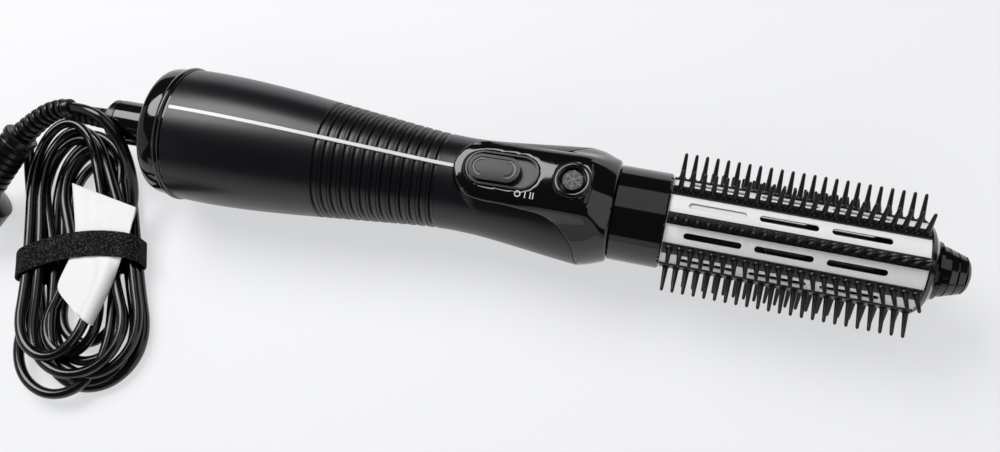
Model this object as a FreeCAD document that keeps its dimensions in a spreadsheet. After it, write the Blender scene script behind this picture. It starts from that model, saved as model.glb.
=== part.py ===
import FreeCAD, Part
import math
import os
import re
import Sketcher
from FreeCAD import Placement, Rotation, Vector

# A hot-air styling brush with a steam cartridge in its tip, in millimetres.
# X runs along the brush from the cord to the tip, Z is up with the switch on top,
# and the origin is on the table under the middle of the brush.

SIZES = {
    # Lengths along the axis, in order from the cord to the tip.
    "relief_length": 24.0,
    "swivel_length": 6.0,
    "boss_length": 24.8,
    "collar_length": 12.8,
    "body_length": 186.4,
    "ring_length": 11.8,
    "sleeve_length": 22.2,
    "barrel_length": 102.2,
    "cap_length": 7.3,
    "knob_length": 12.5,
    # Handle body: radii, and where along the body each one lies.
    "rear_radius": 30.3,
    "belly_radius": 29.4,
    "taper_radius": 26.2,
    "neck_radius": 22.5,
    "waist_radius": 20.9,
    "flare_radius": 22.6,
    "knee_radius": 25.6,
    "belly_at": 35.4,
    "taper_at": 70.4,
    "neck_behind": 80.0,
    "waist_behind": 57.0,
    "flare_behind": 30.0,
    "shell_wall": 2.0,
    "groove_behind": 116.6,
    "groove_pitch": 4.33,
    "groove_count": 13,
    "groove_width": 2.3,
    "groove_depth": 1.1,
    "rib_line_width": 0.5,
    "rib_line_depth": 0.35,
    "trim_width": 1.5,
    "trim_depth": 0.9,
    "trim_margin": 0.8,
    # Rear collar, intake and cord swivel.
    "lip_radius": 31.0,
    "lip_width": 3.0,
    "lip_tail": 1.0,
    "collar_radius": 30.0,
    "collar_rear_radius": 28.8,
    "collar_chamfer": 1.5,
    "collar_spigot": 4.0,
    "seat_gap": 0.1,
    "intake_depth": 3.4,
    "intake_radius": 25.2,
    "grille_seat_radius": 26.4,
    "grille_thickness": 2.0,
    "grille_slots": 28,
    "grille_slot_width": 1.7,
    "grille_slot_inner": 13.0,
    "grille_slot_outer": 24.0,
    "screen_thickness": 0.6,
    "screen_hole_radius": 1.1,
    "screen_rows": 3,
    "screen_row_pitch": 3.4,
    "screen_first_row": 15.2,
    "screen_holes": 30,
    "boss_radius": 10.3,
    "boss_bore": 3.2,
    "boss_flange_radius": 12.0,
    "boss_flange": 2.0,
    "swivel_radius": 10.0,
    "swivel_rear_radius": 6.6,
    "swivel_gap": 0.15,
    "stub_radius": 6.0,
    "stub_length": 8.0,
    "bearing_gap": 0.1,
    "relief_root_radius": 5.1,
    "relief_tip_radius": 3.7,
    "relief_rib_depth": 0.9,
    "relief_ribs": 7,
    "relief_seat": 3.0,
    # Fan and motor.
    "fan_from_rear": 8.0,
    "fan_length": 14.0,
    "fan_radius": 23.5,
    "blade_gap": 0.7,
    "blade_count": 7,
    "blade_thickness": 1.2,
    "blade_chord": 13.0,
    "blade_pitch": 35.0,
    "hub_radius": 7.0,
    "hub_length": 10.0,
    "shaft_radius": 1.15,
    "shaft_gap": 0.1,
    "motor_radius": 12.2,
    "motor_length": 32.0,
    "motor_from_fan": 3.0,
    "mount_wall": 1.5,
    "mount_length": 9.0,
    "spoke_width": 2.4,
    "mount_from_rear": 7.0,
    "mount_foot_width": 16.0,
    "mount_foot_height": 3.0,
    "rectifier_thickness": 1.4,
    "rectifier_radius": 11.0,
    "diode_radius": 1.4,
    "diode_length": 5.0,
    "diode_ring_radius": 7.5,
    "lead_radius": 0.9,
    "lead_spread": 2.6,
    "lead_channel": 26.2,
    # Heater.
    "heater_length": 60.0,
    "heater_past_knee": 8.0,
    "heater_radius": 14.5,
    "heater_wall": 0.5,
    "former_radius": 13.9,
    "former_thickness": 1.0,
    "former_length": 50.0,
    "former_from_rear": 5.0,
    "coil_radius": 12.0,
    "coil_wire": 0.45,
    "coil_count": 6,
    "coil_pitch": 7.0,
    "coil_from_former": 4.0,
    "coil_notch": 0.15,
    "fuse_from_rear": 8.0,
    "fuse_length": 8.0,
    "fuse_width": 2.6,
    "fuse_aside": 4.5,
    "thermostat_from_rear": 34.0,
    "thermostat_length": 9.0,
    "thermostat_width": 6.0,
    "thermostat_height": 3.0,
    "thermostat_aside": -5.5,
    "bulkhead_thickness": 2.5,
    # Front housing and its raised deck.
    "deck_height": 26.0,
    "deck_tilt": 4.0,
    "deck_half_width": 12.4,
    "deck_front_half_width": 14.6,
    "deck_crown_radius": 39.0,
    "deck_tail": 56.5,
    "deck_rim": 0.8,
    "deck_lean": 0.42,
    "deck_edge_height": 24.0,
    "deck_brow_radius": 28.6,
    "deck_brow_at": 2.0,
    "housing_wall": 2.0,
    "ring_shoulder": 3.5,
    "ring_shoulder_radius": 25.3,
    "ring_front_radius": 21.6,
    # Switch and cold-shot button, measured along the deck.
    "switch_from_knee": 35.6,
    "tray_length": 29.8,
    "tray_width": 13.5,
    "tray_rim": 0.8,
    "tray_depth": 2.2,
    "tray_floor": 1.2,
    "tray_proud": 0.3,
    "slider_length": 22.4,
    "slider_width": 11.3,
    "slider_proud": 0.7,
    "slider_gap": 0.15,
    "slider_travel": 6.6,
    "dish_length": 19.2,
    "dish_width": 8.8,
    "dish_depth": 0.4,
    "thumb_groove": 0.9,
    "thumb_groove_depth": 0.35,
    "stem_length": 4.0,
    "stem_width": 2.4,
    "stem_drop": 4.3,
    "stem_gap": 0.3,
    "button_from_switch": 30.0,
    "bezel_radius": 7.05,
    "bezel_bore": 5.5,
    "bezel_proud": 0.5,
    "bezel_depth": 2.4,
    "button_radius": 4.8,
    "button_recess": 0.4,
    "button_stem_radius": 1.5,
    "button_stem": 4.2,
    "button_flange_radius": 6.4,
    "button_flange": 0.8,
    "spring_radius": 2.6,
    "spring_wire": 0.3,
    "spring_turns": 4,
    "board_height": 15.7,
    "board_thickness": 1.4,
    "board_length": 46.0,
    "board_width": 17.0,
    "board_behind_knee": 1.5,
    "board_post_radius": 1.3,
    "board_post_in": 3.0,
    "switch_body_length": 17.0,
    "switch_body_width": 8.0,
    "switch_body_height": 4.2,
    "microswitch_length": 8.0,
    "microswitch_width": 6.0,
    "microswitch_height": 2.2,
    # Nozzle, catch ring and brush sleeve.
    "spigot_radius": 16.4,
    "spigot_front_margin": 5.0,
    "spigot_flange": 2.0,
    "spigot_flange_radius": 19.0,
    "catch_radius": 18.3,
    "catch_gap": 0.12,
    "catch_length": 8.0,
    "catch_lug": 0.35,
    "sleeve_radius": 20.5,
    "sleeve_step": 2.0,
    "sleeve_bore": 18.8,
    "sleeve_gap": 0.25,
    "sleeve_front_wall": 3.0,
    # Barrel and bristles.
    "barrel_radius": 18.5,
    "barrel_wall": 0.9,
    "barrel_seat": 2.0,
    "slot_first": 7.9,
    "slot_length": 23.3,
    "slot_pitch": 28.3,
    "slot_width": 2.7,
    "slot_count": 3,
    "row_count": 9,
    "row_phase": 14.3,
    "strip_angle": 15.0,
    "strip_thickness": 0.8,
    "bristle_count": 23,
    "bristle_first": 3.3,
    "bristle_last": 2.1,
    "bristle_height": 11.5,
    "bristle_root_radius": 1.2,
    "bristle_tip_radius": 0.7,
    "mound_radius": 1.75,
    "mound_height": 0.6,
    # End cap, tip knob and steam cartridge.
    "cap_lip": 0.4,
    "cap_shoulder_drop": 0.9,
    "cap_rim_radius": 12.0,
    "cap_bore": 9.4,
    "cap_plug_length": 4.0,
    "knob_root_radius": 10.9,
    "knob_tip_radius": 7.6,
    "knob_groove": 0.8,
    "knob_groove_width": 0.8,
    "knob_groove_pitch": 3.5,
    "knob_groove_first": 2.6,
    "knob_nose_radius": 5.2,
    "knob_sunk": 0.5,
    "cap_recess": 2.7,
    "cap_recess_radius": 11.25,
    "cartridge_radius": 7.4,
    "cartridge_wall": 1.0,
    "cartridge_length": 66.0,
    "cartridge_head_radius": 8.6,
    "cartridge_head": 6.0,
    "cartridge_head_bore": 6.0,
    "cartridge_head_bore_depth": 4.0,
    "press_stem_radius": 2.4,
    "press_stem": 9.9,
    "steam_spring_radius": 4.2,
    "steam_spring_wire": 0.35,
    "seal_groove": 0.7,
    "seal_groove_width": 1.6,
    "seal_radius": 9.25,
    "wick_radius": 2.4,
    "wick_length": 60.0,
    "wick_out": 7.0,
    # Screws that join the two handle shells.
    "screw_radius": 1.3,
    "screw_head_radius": 2.6,
    "screw_head": 1.8,
    "screw_post_radius": 3.2,
    # Mains cord, its hank and its plug.
    "cord_diameter": 4.8,
    "hank_height": 16.0,
    "hank_round": 4.0,
    "tie_width": 12.6,
    "tie_thickness": 1.2,
    "tie_half_span": 30.5,
    "tie_corner_radius": 5.0,
    "tie_angle": 19.76,
    "tie_x": -183.7,
    "tie_y": -65.3,
    "tag_thickness": 0.4,
    "plug_relief_radius": 4.3,
    "plug_relief_rings": 8,
    "plug_ring_width": 2.2,
    "plug_flange_radius": 8.0,
    "plug_flange": 3.0,
    "plug_grip_radius": 9.6,
    "plug_length": 46.0,
    "plug_face_radius": 18.0,
    "plug_face_length": 9.0,
    "pin_radius": 2.4,
    "pin_length": 19.0,
    "pin_spacing": 19.0,
}

AXIS_LENGTHS = [
    "relief_length",
    "swivel_length",
    "boss_length",
    "collar_length",
    "body_length",
    "ring_length",
    "sleeve_length",
    "barrel_length",
    "cap_length",
    "knob_length",
]
STATION_NAMES = [
    "rear",
    "swivel_rear",
    "boss_rear",
    "collar_rear",
    "body_rear",
    "knee",
    "housing_front",
    "sleeve_front",
    "barrel_front",
    "cap_front",
    "tip",
]

doc = FreeCAD.newDocument("StylingBrush")
sheet = doc.addObject("Spreadsheet::Sheet", "Sizes")
for line, (alias, size) in enumerate(SIZES.items(), start=1):
    sheet.set(f"A{line}", alias)
    sheet.set(f"B{line}", str(size))
    sheet.setAlias(f"B{line}", alias)
doc.recompute()


def sized(text):
    """The expression with each alias written as a cell of the sheet."""
    return re.sub(r"[a-z_]{3,}", lambda found: qualified(found.group()), text)


def qualified(word):
    return "Sizes." + word if word in SIZES else word


def value(text):
    """The number that an expression on the sheet's aliases gives."""
    return float(sheet.evalExpression(sized(text)))


# Stations along the axis, as expressions: each one follows from the lengths before it.
WHOLE = " + ".join(AXIS_LENGTHS)
STATION = {
    name: " + ".join([f"-({WHOLE}) / 2"] + AXIS_LENGTHS[:count])
    for count, name in enumerate(STATION_NAMES)
}
AXIS_HEIGHT = "lip_radius"
nodes = []


def station(name):
    return value(STATION[name])


def node(part, label):
    """Names a finished piece and lists it for export."""
    part.Label = label
    nodes.append(part)
    return part


def on_axis(part, along="0"):
    """Puts a piece's own origin on the brush's axis, at a place along it."""
    part.setExpression("Placement.Base.x", sized(along))
    part.setExpression("Placement.Base.z", sized(AXIS_HEIGHT))


def plane_of(body, role):
    return [feature for feature in body.Origin.OriginFeatures if feature.Role == role][0]


def pin_down(sketch, kind, line, text, name):
    """Ties the start of a line to a distance from the sketch's origin."""
    distance = value(text)
    if abs(distance) < 1e-9:
        other_axis = -2 if kind == "DistanceX" else -1
        sketch.addConstraint(Sketcher.Constraint("PointOnObject", line, 1, other_axis))
        return
    if distance > 0:
        rule = Sketcher.Constraint(kind, -1, 1, line, 1, distance)
    else:
        rule = Sketcher.Constraint(kind, line, 1, -1, 1, -distance)
    index = sketch.addConstraint(rule)
    sketch.renameConstraint(index, name)
    sign = "" if distance > 0 else "-"
    sketch.setExpression(f"Constraints.{name}", sized(f"{sign}({text})"))


def draw_polygon(sketch, points):
    """Closed outline whose corners are pairs of expressions; a sketch may hold several."""
    first = len(sketch.Geometry)
    corners = [Vector(value(across), value(up), 0) for across, up in points]
    for k, start in enumerate(corners):
        sketch.addGeometry(Part.LineSegment(start, corners[(k + 1) % len(corners)]))
    for k, (across, up) in enumerate(points):
        line = first + k
        following = first + (k + 1) % len(points)
        sketch.addConstraint(Sketcher.Constraint("Coincident", line, 2, following, 1))
        pin_down(sketch, "DistanceX", line, across, f"across{line}")
        pin_down(sketch, "DistanceY", line, up, f"up{line}")


def new_sketch(body, name, role):
    sketch = body.newObject("Sketcher::SketchObject", name)
    sketch.AttachmentSupport = [(plane_of(body, role), "")]
    sketch.MapMode = "FlatFace"
    return sketch


def turned(label, points, spindle="H_Axis"):
    """A body turned about its own X axis, or about its Z axis with spindle V_Axis."""
    body = doc.addObject("PartDesign::Body", label)
    sketch = new_sketch(body, label + "_profile", "XZ_Plane")
    draw_polygon(sketch, points)
    turning = body.newObject("PartDesign::Revolution", label + "_turned")
    turning.Profile = sketch
    turning.ReferenceAxis = (sketch, [spindle])
    turning.Angle = 360
    return node(body, label)


def padded(label, role, points, length, both_ways=False):
    """A body made from one closed outline given a thickness."""
    body = doc.addObject("PartDesign::Body", label)
    sketch = new_sketch(body, label + "_outline", role)
    draw_polygon(sketch, points)
    pad = body.newObject("PartDesign::Pad", label + "_pad")
    pad.Profile = sketch
    pad.setExpression("Length", sized(length))
    pad.Midplane = both_ways
    return body


def ringed(body, pocket, count):
    """Repeats a pocket round the body's X axis."""
    pattern = body.newObject("PartDesign::PolarPattern", pocket.Name + "_ring")
    pattern.Originals = [pocket]
    pattern.Axis = (plane_of(body, "X_Axis"), [""])
    pattern.Angle = 360
    pattern.setExpression("Occurrences", sized(count))
    body.Tip = pattern
    return pattern


def shaped(label, shape, height="0"):
    """A piece whose shape is worked out here, raised to its place."""
    part = doc.addObject("Part::Feature", label)
    moved = not shape.Placement.isIdentity()
    part.Shape = Part.makeCompound([shape]) if moved else shape
    part.setExpression("Placement.Base.z", sized(height))
    return node(part, label)


# Handle skin: a smooth curve through a few radii, turned about the axis.
BODY_POINTS = [
    ("0", "rear_radius"),
    ("belly_at", "belly_radius"),
    ("taper_at", "taper_radius"),
    ("body_length - neck_behind", "neck_radius"),
    ("body_length - waist_behind", "waist_radius"),
    ("body_length - flare_behind", "flare_radius"),
    ("body_length", "knee_radius"),
]
KNEE = station("knee")
BODY_REAR = station("body_rear")
HOUSING_FRONT = station("housing_front")
# Cutting tools reach well past whatever they cut.
BIG = 200.0
PAST = 20.0


def skin_curve():
    points = []
    for along, radius in BODY_POINTS:
        points.append(Vector(BODY_REAR + value(along), 0, value(radius)))
    curve = Part.BSplineCurve()
    curve.interpolate(points)
    return curve


SKIN = skin_curve()


def skin_radius(along):
    """Radius of the handle's skin at a place along the axis."""
    low, high = SKIN.FirstParameter, SKIN.LastParameter
    for _ in range(40):
        middle = (low + high) / 2
        if SKIN.value(middle).x < along:
            low = middle
        else:
            high = middle
    return SKIN.value(low).z


def revolved(outline):
    """Solid turned about the X axis from an open outline, closed down to the axis."""
    first = outline[0].Vertexes[0].Point
    last = outline[-1].Vertexes[-1].Point
    foot_first = Vector(first.x, 0, 0)
    foot_last = Vector(last.x, 0, 0)
    edges = [Part.makeLine(foot_first, first)] + outline
    edges += [Part.makeLine(last, foot_last), Part.makeLine(foot_last, foot_first)]
    face = Part.Face(Part.Wire(Part.sortEdges(edges)[0]))
    return face.revolve(Vector(0, 0, 0), Vector(1, 0, 0), 360)


def outline_edges(points):
    return [Part.makeLine(Vector(*a), Vector(*b)) for a, b in zip(points, points[1:])]


def skin_edge(inset):
    points = [SKIN.value(SKIN.FirstParameter + k * span) for k, span in skin_steps()]
    lowered = [Vector(point.x, 0, point.z - inset) for point in points]
    curve = Part.BSplineCurve()
    curve.interpolate(lowered)
    return curve.toShape()


def skin_steps():
    count = 14
    span = (SKIN.LastParameter - SKIN.FirstParameter) / count
    return [(k, span) for k in range(count + 1)]


def body_form(inset, overrun=0.0):
    """The handle body as a solid, thinned by an inset and run on past both ends."""
    rear = skin_radius(BODY_REAR) - inset
    front = value("knee_radius") - inset
    edges = [skin_edge(inset)]
    if overrun > 0:
        edges.insert(0, Part.makeLine(Vector(BODY_REAR - overrun, 0, rear), Vector(BODY_REAR, 0, rear)))
        edges.append(Part.makeLine(Vector(KNEE, 0, front), Vector(KNEE + overrun, 0, front)))
    return revolved(edges)


def ring_form(inset, front_wall=0.0):
    """The housing's front ring, a shoulder and a long chamfer, as a solid."""
    shoulder = KNEE + value("ring_shoulder")
    points = [
        (KNEE, 0, value("knee_radius") - inset),
        (shoulder, 0, value("ring_shoulder_radius") - inset),
        (HOUSING_FRONT - front_wall, 0, value("ring_front_radius") - inset),
    ]
    return revolved(outline_edges(points))


DECK_X = KNEE - value("switch_from_knee")
DECK_TILT = math.radians(value("deck_tilt"))
DECK_AHEAD = Vector(math.cos(DECK_TILT), 0, math.sin(DECK_TILT))
DECK_NORMAL = Vector(-math.sin(DECK_TILT), 0, math.cos(DECK_TILT))
DECK_ORIGIN = Vector(DECK_X, 0, value("deck_height"))


def deck_outline(height, inset):
    """Plan of the raised deck at a height: a round tail, and sides that lean out below."""
    lean = value("deck_lean") * (value("deck_edge_height") - height)
    half = value("deck_half_width") + lean - inset
    front_half = value("deck_front_half_width") + lean - inset
    tail = KNEE - value("deck_tail") + inset
    straight = KNEE - value("deck_tail") + value("deck_half_width")
    front = Vector(HOUSING_FRONT, front_half, height)
    near = Vector(HOUSING_FRONT, -front_half, height)
    left = Vector(straight, half, height)
    right = Vector(straight, -half, height)
    return Part.Wire([
        Part.makeLine(near, front),
        Part.makeLine(front, left),
        Part.Arc(left, Vector(tail, 0, height), right).toShape(),
        Part.makeLine(right, near),
    ])


def deck_form(inset, front_wall=0.0):
    """The raised deck as a solid: its plan, under a crowned and tilted top."""
    low = value("deck_edge_height") - 16
    high = value("deck_edge_height") + 10
    column = Part.makeLoft([deck_outline(low, inset), deck_outline(high, inset)], True, True)
    crown = value("deck_crown_radius") - inset
    centre = DECK_ORIGIN - DECK_NORMAL * value("deck_crown_radius")
    top = Part.makeCylinder(crown, 2 * BIG, centre - DECK_AHEAD * BIG, DECK_AHEAD)
    front = HOUSING_FRONT - front_wall
    brow = KNEE + value("deck_brow_at")
    rise = value("deck_brow_radius") - value("ring_front_radius")
    slope = rise / (HOUSING_FRONT - brow)
    reach = 2 * value("deck_brow_radius")
    crest = Vector(front - (reach - value("ring_front_radius")) / slope, 0, reach - inset)
    foot = Vector(front, 0, value("ring_front_radius") - inset)
    rear = Vector(KNEE - BIG, 0, reach - inset)
    limit = revolved([Part.makeLine(rear, crest), Part.makeLine(crest, foot)])
    return column.common(top).common(limit)


# Plan of the glossy front piece where it meets the matte shells, behind the knee:
# how far behind the knee, and how far from the middle.
GLOSS_EDGE = [
    (54.2, 8.6), (48.0, 12.6), (36.5, 13.7), (22.0, 14.4), (12.6, 15.8), (6.5, 19.5), (1.6, 24.4), (0.0, 29.0),
]


def gloss_region():
    """Everything that belongs to the glossy front piece: its tongue and its ring."""
    tail = Vector(KNEE - value("deck_tail + deck_rim"), 0, 0)
    side = [Vector(KNEE - back, across, 0) for back, across in GLOSS_EDGE]
    curve = Part.BSplineCurve()
    curve.interpolate([Vector(p.x, -p.y, 0) for p in reversed(side)] + [tail] + side)
    edge = curve.toShape()
    far_corner = Vector(HOUSING_FRONT + 1, side[-1].y, 0)
    near_corner = Vector(HOUSING_FRONT + 1, -side[-1].y, 0)
    face = Part.Face(Part.Wire(Part.sortEdges([
        edge,
        Part.makeLine(side[-1], far_corner),
        Part.makeLine(far_corner, near_corner),
        Part.makeLine(near_corner, Vector(KNEE, -side[-1].y, 0)),
    ])[0]))
    tongue = face.extrude(Vector(0, 0, BIG))
    ring = Part.makeBox(BIG, BIG, BIG, Vector(KNEE, -BIG / 2, -BIG / 2))
    return tongue.fuse(ring)


GLOSS = gloss_region()
CAVITY = body_form(value("shell_wall"), overrun=PAST)


def grip_cutters():
    """Rings that cut the grip's grooves, and the fine line along each rib between them."""
    first = KNEE - value("groove_behind")
    pitch = value("groove_pitch")
    count = int(value("groove_count"))
    cutters = []
    for k in range(count):
        centre = first + k * pitch
        cutters.append(ring_cutter(centre, value("groove_width"), value("groove_depth")))
        if k < count - 1:
            middle = centre + pitch / 2
            cutters.append(ring_cutter(middle, value("rib_line_width"), value("rib_line_depth")))
    return Part.makeCompound(cutters)


def ring_cutter(centre, width, depth):
    radius = skin_radius(centre)
    outer = radius + 2 * depth + 1
    spread = width * (outer - radius + depth) / depth / 2
    points = [
        Vector(centre - width / 4, 0, radius - depth),
        Vector(centre + width / 4, 0, radius - depth),
        Vector(centre + width / 4 + spread / 2, 0, outer),
        Vector(centre - width / 4 - spread / 2, 0, outer),
    ]
    face = Part.Face(Part.makePolygon(points + points[:1]))
    return face.revolve(Vector(0, 0, 0), Vector(1, 0, 0), 360)


def seam_strip(inset):
    """The bright strip let into the top seam; inset 0 gives the strip itself."""
    start = BODY_REAR + value("trim_margin")
    end = KNEE - value("deck_tail + deck_rim")
    width = value("trim_width")
    depth = value("trim_depth")
    lane = Part.makeBox(end - start, width, BIG, Vector(start, -width / 2, 0))
    return body_form(inset).cut(body_form(inset + depth, overrun=5.0)).common(lane)


# Screw places: distance from the body's rear end, and depth below the axis.
SCREWS = [("44", 21.5), ("body_length - 90.4", 16.8), ("body_length - 64.4", 14.6)]


def screw_places():
    places = []
    for along, below in SCREWS:
        x = BODY_REAR + value(along)
        inner = skin_radius(x) - value("shell_wall")
        reach = math.sqrt(inner ** 2 - (below + value("screw_post_radius")) ** 2)
        places.append((Vector(x, 0, -below), reach))
    return places


def screw_posts(side):
    posts = []
    for place, reach in screw_places():
        posts.append(Part.makeCylinder(value("screw_post_radius"), reach + 1, place, Vector(0, side, 0)))
    return posts


def screw_set():
    """Shell screws: heads sunk on the far side, threads in the near shell's posts."""
    screws = []
    for place, reach in screw_places():
        head_at = place + Vector(0, reach - value("screw_head"), 0)
        head = Part.makeCylinder(value("screw_head_radius"), value("screw_head"), head_at, Vector(0, 1, 0))
        length = 2 * reach - value("screw_head") - 3
        shank = Part.makeCylinder(value("screw_radius"), length, head_at, Vector(0, -1, 0))
        screws.append(head.fuse(shank).removeSplitter())
    return screws


def screw_clearance():
    """Holes for the screws, with the head's well open to the outside."""
    holes = []
    for (place, reach), screw in zip(screw_places(), screw_set()):
        well_at = place + Vector(0, reach - value("screw_head"), 0)
        well = Part.makeCylinder(value("screw_head_radius"), BIG, well_at, Vector(0, 1, 0))
        holes.append(screw.fuse(well))
    return holes


DECK_CAVITY = deck_form(value("housing_wall"), value("housing_wall"))
SHELL_BODY = body_form(0.0).fuse(deck_form(0.0)).cut([CAVITY, DECK_CAVITY])
GRIP = grip_cutters()
STRIP_SLOT = seam_strip(0.0)


def handle_shell(side):
    """One half of the matte handle: side 1 is the far half, side -1 the near half."""
    low = 0 if side > 0 else -BIG
    half = Part.makeBox(2 * BIG, BIG, 2 * BIG, Vector(-BIG, low, -BIG))
    shell = SHELL_BODY.common(half)
    posts = body_form(value("shell_wall")).common(Part.makeCompound(screw_posts(side)))
    shell = shell.fuse(posts.Solids)
    shell = shell.cut(GLOSS).cut(STRIP_SLOT).cut(GRIP)
    return shell.cut(screw_clearance())


shaped("handle_shell_far", handle_shell(1), AXIS_HEIGHT)
shaped("handle_shell_near", handle_shell(-1), AXIS_HEIGHT)
shaped("seam_trim", seam_strip(0.0), AXIS_HEIGHT)
shaped("shell_screws", Part.makeCompound(screw_set()), AXIS_HEIGHT)


# Front housing.
def deck_solid(solid):
    """Turns a solid drawn on a level deck to the real deck, in axis coordinates."""
    tilted = solid.copy()
    deck = Placement(DECK_ORIGIN, Rotation(Vector(0, -1, 0), value("deck_tilt")))
    tilted.Placement = deck.multiply(solid.Placement)
    return tilted


def stadium(length, width, bottom, top, centre=0.0):
    straight = (length - width) / 2
    bar = Part.makeBox(2 * straight, width, top - bottom, Vector(centre - straight, -width / 2, bottom))
    ends = [
        Part.makeCylinder(width / 2, top - bottom, Vector(centre + sign * straight, 0, bottom))
        for sign in (-1, 1)
    ]
    return bar.fuse(ends).removeSplitter()


def front_housing():
    wall = value("housing_wall")
    outside = body_form(0.0).fuse([ring_form(0.0), deck_form(0.0)])
    inside = body_form(wall, overrun=0.5).fuse([ring_form(wall, wall), DECK_CAVITY])
    housing = outside.common(GLOSS).cut(inside)
    spigot = Part.makeCylinder(value("spigot_radius"), BIG, Vector(KNEE, 0, 0), Vector(1, 0, 0))
    rim = 2 * value("tray_rim")
    switch_hole = stadium(value("tray_length") + rim, value("tray_width") + rim, -PAST / 2, PAST / 2)
    button_at = Vector(value("button_from_switch"), 0, -PAST / 2)
    button_hole = Part.makeCylinder(value("bezel_radius"), PAST, button_at)
    housing = housing.cut([spigot, deck_solid(switch_hole), deck_solid(button_hole)])
    posts = outside.common(Part.makeCompound(board_posts()))
    return housing.fuse(posts.Solids).removeSplitter()


def board_posts():
    """Four posts that hang from the deck and hold the circuit board's edges."""
    front = KNEE - value("board_behind_knee + board_post_in")
    rear = front - value("board_length - 3 * board_post_in")
    radius = value("board_post_radius")
    bottom = value("board_height + board_thickness")
    posts = []
    for x in (rear, front):
        for side in (-1, 1):
            foot = Vector(x, side * (value("board_width") + radius) / 2, bottom)
            posts.append(Part.makeCylinder(radius, BIG, foot))
    return posts


shaped("front_housing", front_housing(), AXIS_HEIGHT)


# Rear collar, with a spigot that centres it in the handle.
LIP_FRONT = "(collar_length - lip_tail)"
LIP_REAR = "(collar_length - lip_tail - lip_width)"
SPIGOT_FRONT = "(collar_length + collar_spigot)"
SPIGOT_RADIUS = "(rear_radius - shell_wall - seat_gap)"
collar = turned("rear_collar", [
    ("0", "intake_radius"),
    ("0", "collar_rear_radius - collar_chamfer"),
    ("collar_chamfer / 3", "collar_rear_radius - collar_chamfer / 3"),
    ("collar_chamfer", "collar_rear_radius"),
    (LIP_REAR, "collar_radius"),
    (LIP_REAR, "lip_radius"),
    (LIP_FRONT, "lip_radius"),
    (LIP_FRONT, "collar_radius"),
    ("collar_length", "collar_radius"),
    ("collar_length", SPIGOT_RADIUS),
    (SPIGOT_FRONT, SPIGOT_RADIUS),
    (SPIGOT_FRONT, "grille_seat_radius"),
    ("intake_depth", "grille_seat_radius"),
    ("intake_depth", "intake_radius"),
])
on_axis(collar, STATION["collar_rear"])


def draw_circle(sketch, across, up, radius):
    centre = Vector(value(across), value(up), 0)
    line = sketch.addGeometry(Part.Circle(centre, Vector(0, 0, 1), value(radius)))
    index = sketch.addConstraint(Sketcher.Constraint("Radius", line, value(radius)))
    sketch.renameConstraint(index, "round")
    sketch.setExpression("Constraints.round", sized(radius))
    sketch.addConstraint(Sketcher.Constraint("PointOnObject", line, 3, -2))
    index = sketch.addConstraint(Sketcher.Constraint("DistanceY", -1, 1, line, 3, value(up)))
    sketch.renameConstraint(index, "up")
    sketch.setExpression("Constraints.up", sized(up))


def pierced(body, name, role="YZ_Plane", polygons=None, circle=None, both_ways=True):
    """A pocket right through a body, from polygons or one circle above its axis."""
    sketch = new_sketch(body, name + "_outline", role)
    if circle:
        draw_circle(sketch, *circle)
    for points in polygons or []:
        draw_polygon(sketch, points)
    pocket = body.newObject("PartDesign::Pocket", name)
    pocket.Profile = sketch
    pocket.Type = "ThroughAll"
    if both_ways:
        pocket.Midplane = True
    else:
        pocket.Reversed = True
    body.Tip = pocket
    return pocket


GRILLE_REAR = f"({STATION['collar_rear']} + intake_depth)"
SCREEN_REAR = f"({GRILLE_REAR} + grille_thickness)"
FLANGE_REAR = f"({SCREEN_REAR} + screen_thickness)"
DISC_RADIUS = "(grille_seat_radius - seat_gap)"


def disc_profile(radius, thickness):
    return [
        ("0", "boss_radius + seat_gap"),
        ("0", radius),
        (thickness, radius),
        (thickness, "boss_radius + seat_gap"),
    ]


grille = turned("intake_grille", disc_profile(DISC_RADIUS, "grille_thickness"))
slot = pierced(grille, "intake_slot", polygons=[[
    ("-grille_slot_width / 2", "grille_slot_inner"),
    ("grille_slot_width / 2", "grille_slot_inner"),
    ("grille_slot_width / 2", "grille_slot_outer"),
    ("-grille_slot_width / 2", "grille_slot_outer"),
]])
ringed(grille, slot, "grille_slots")
on_axis(grille, GRILLE_REAR)

screen = turned("lint_screen", disc_profile(DISC_RADIUS, "screen_thickness"))
for row in range(int(value("screen_rows"))):
    height = f"screen_first_row + {row} * screen_row_pitch"
    hole = pierced(screen, f"screen_hole{row}", circle=("0", height, "screen_hole_radius"))
    ringed(screen, hole, "screen_holes")
on_axis(screen, SCREEN_REAR)

BOSS_FRONT = f"({FLANGE_REAR} + boss_flange - ({STATION['boss_rear']}))"
BOSS_STEP = f"({FLANGE_REAR} - ({STATION['boss_rear']}))"
boss = turned("cord_boss", [
    ("0", "stub_radius + bearing_gap"),
    ("0", "boss_radius - 0.6"),
    ("0.6", "boss_radius"),
    (BOSS_STEP, "boss_radius"),
    (BOSS_STEP, "boss_flange_radius"),
    (BOSS_FRONT, "boss_flange_radius"),
    (BOSS_FRONT, "boss_bore"),
    ("stub_length + 0.4", "boss_bore"),
    ("stub_length + 0.4", "stub_radius + bearing_gap"),
])
on_axis(boss, STATION["boss_rear"])

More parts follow.
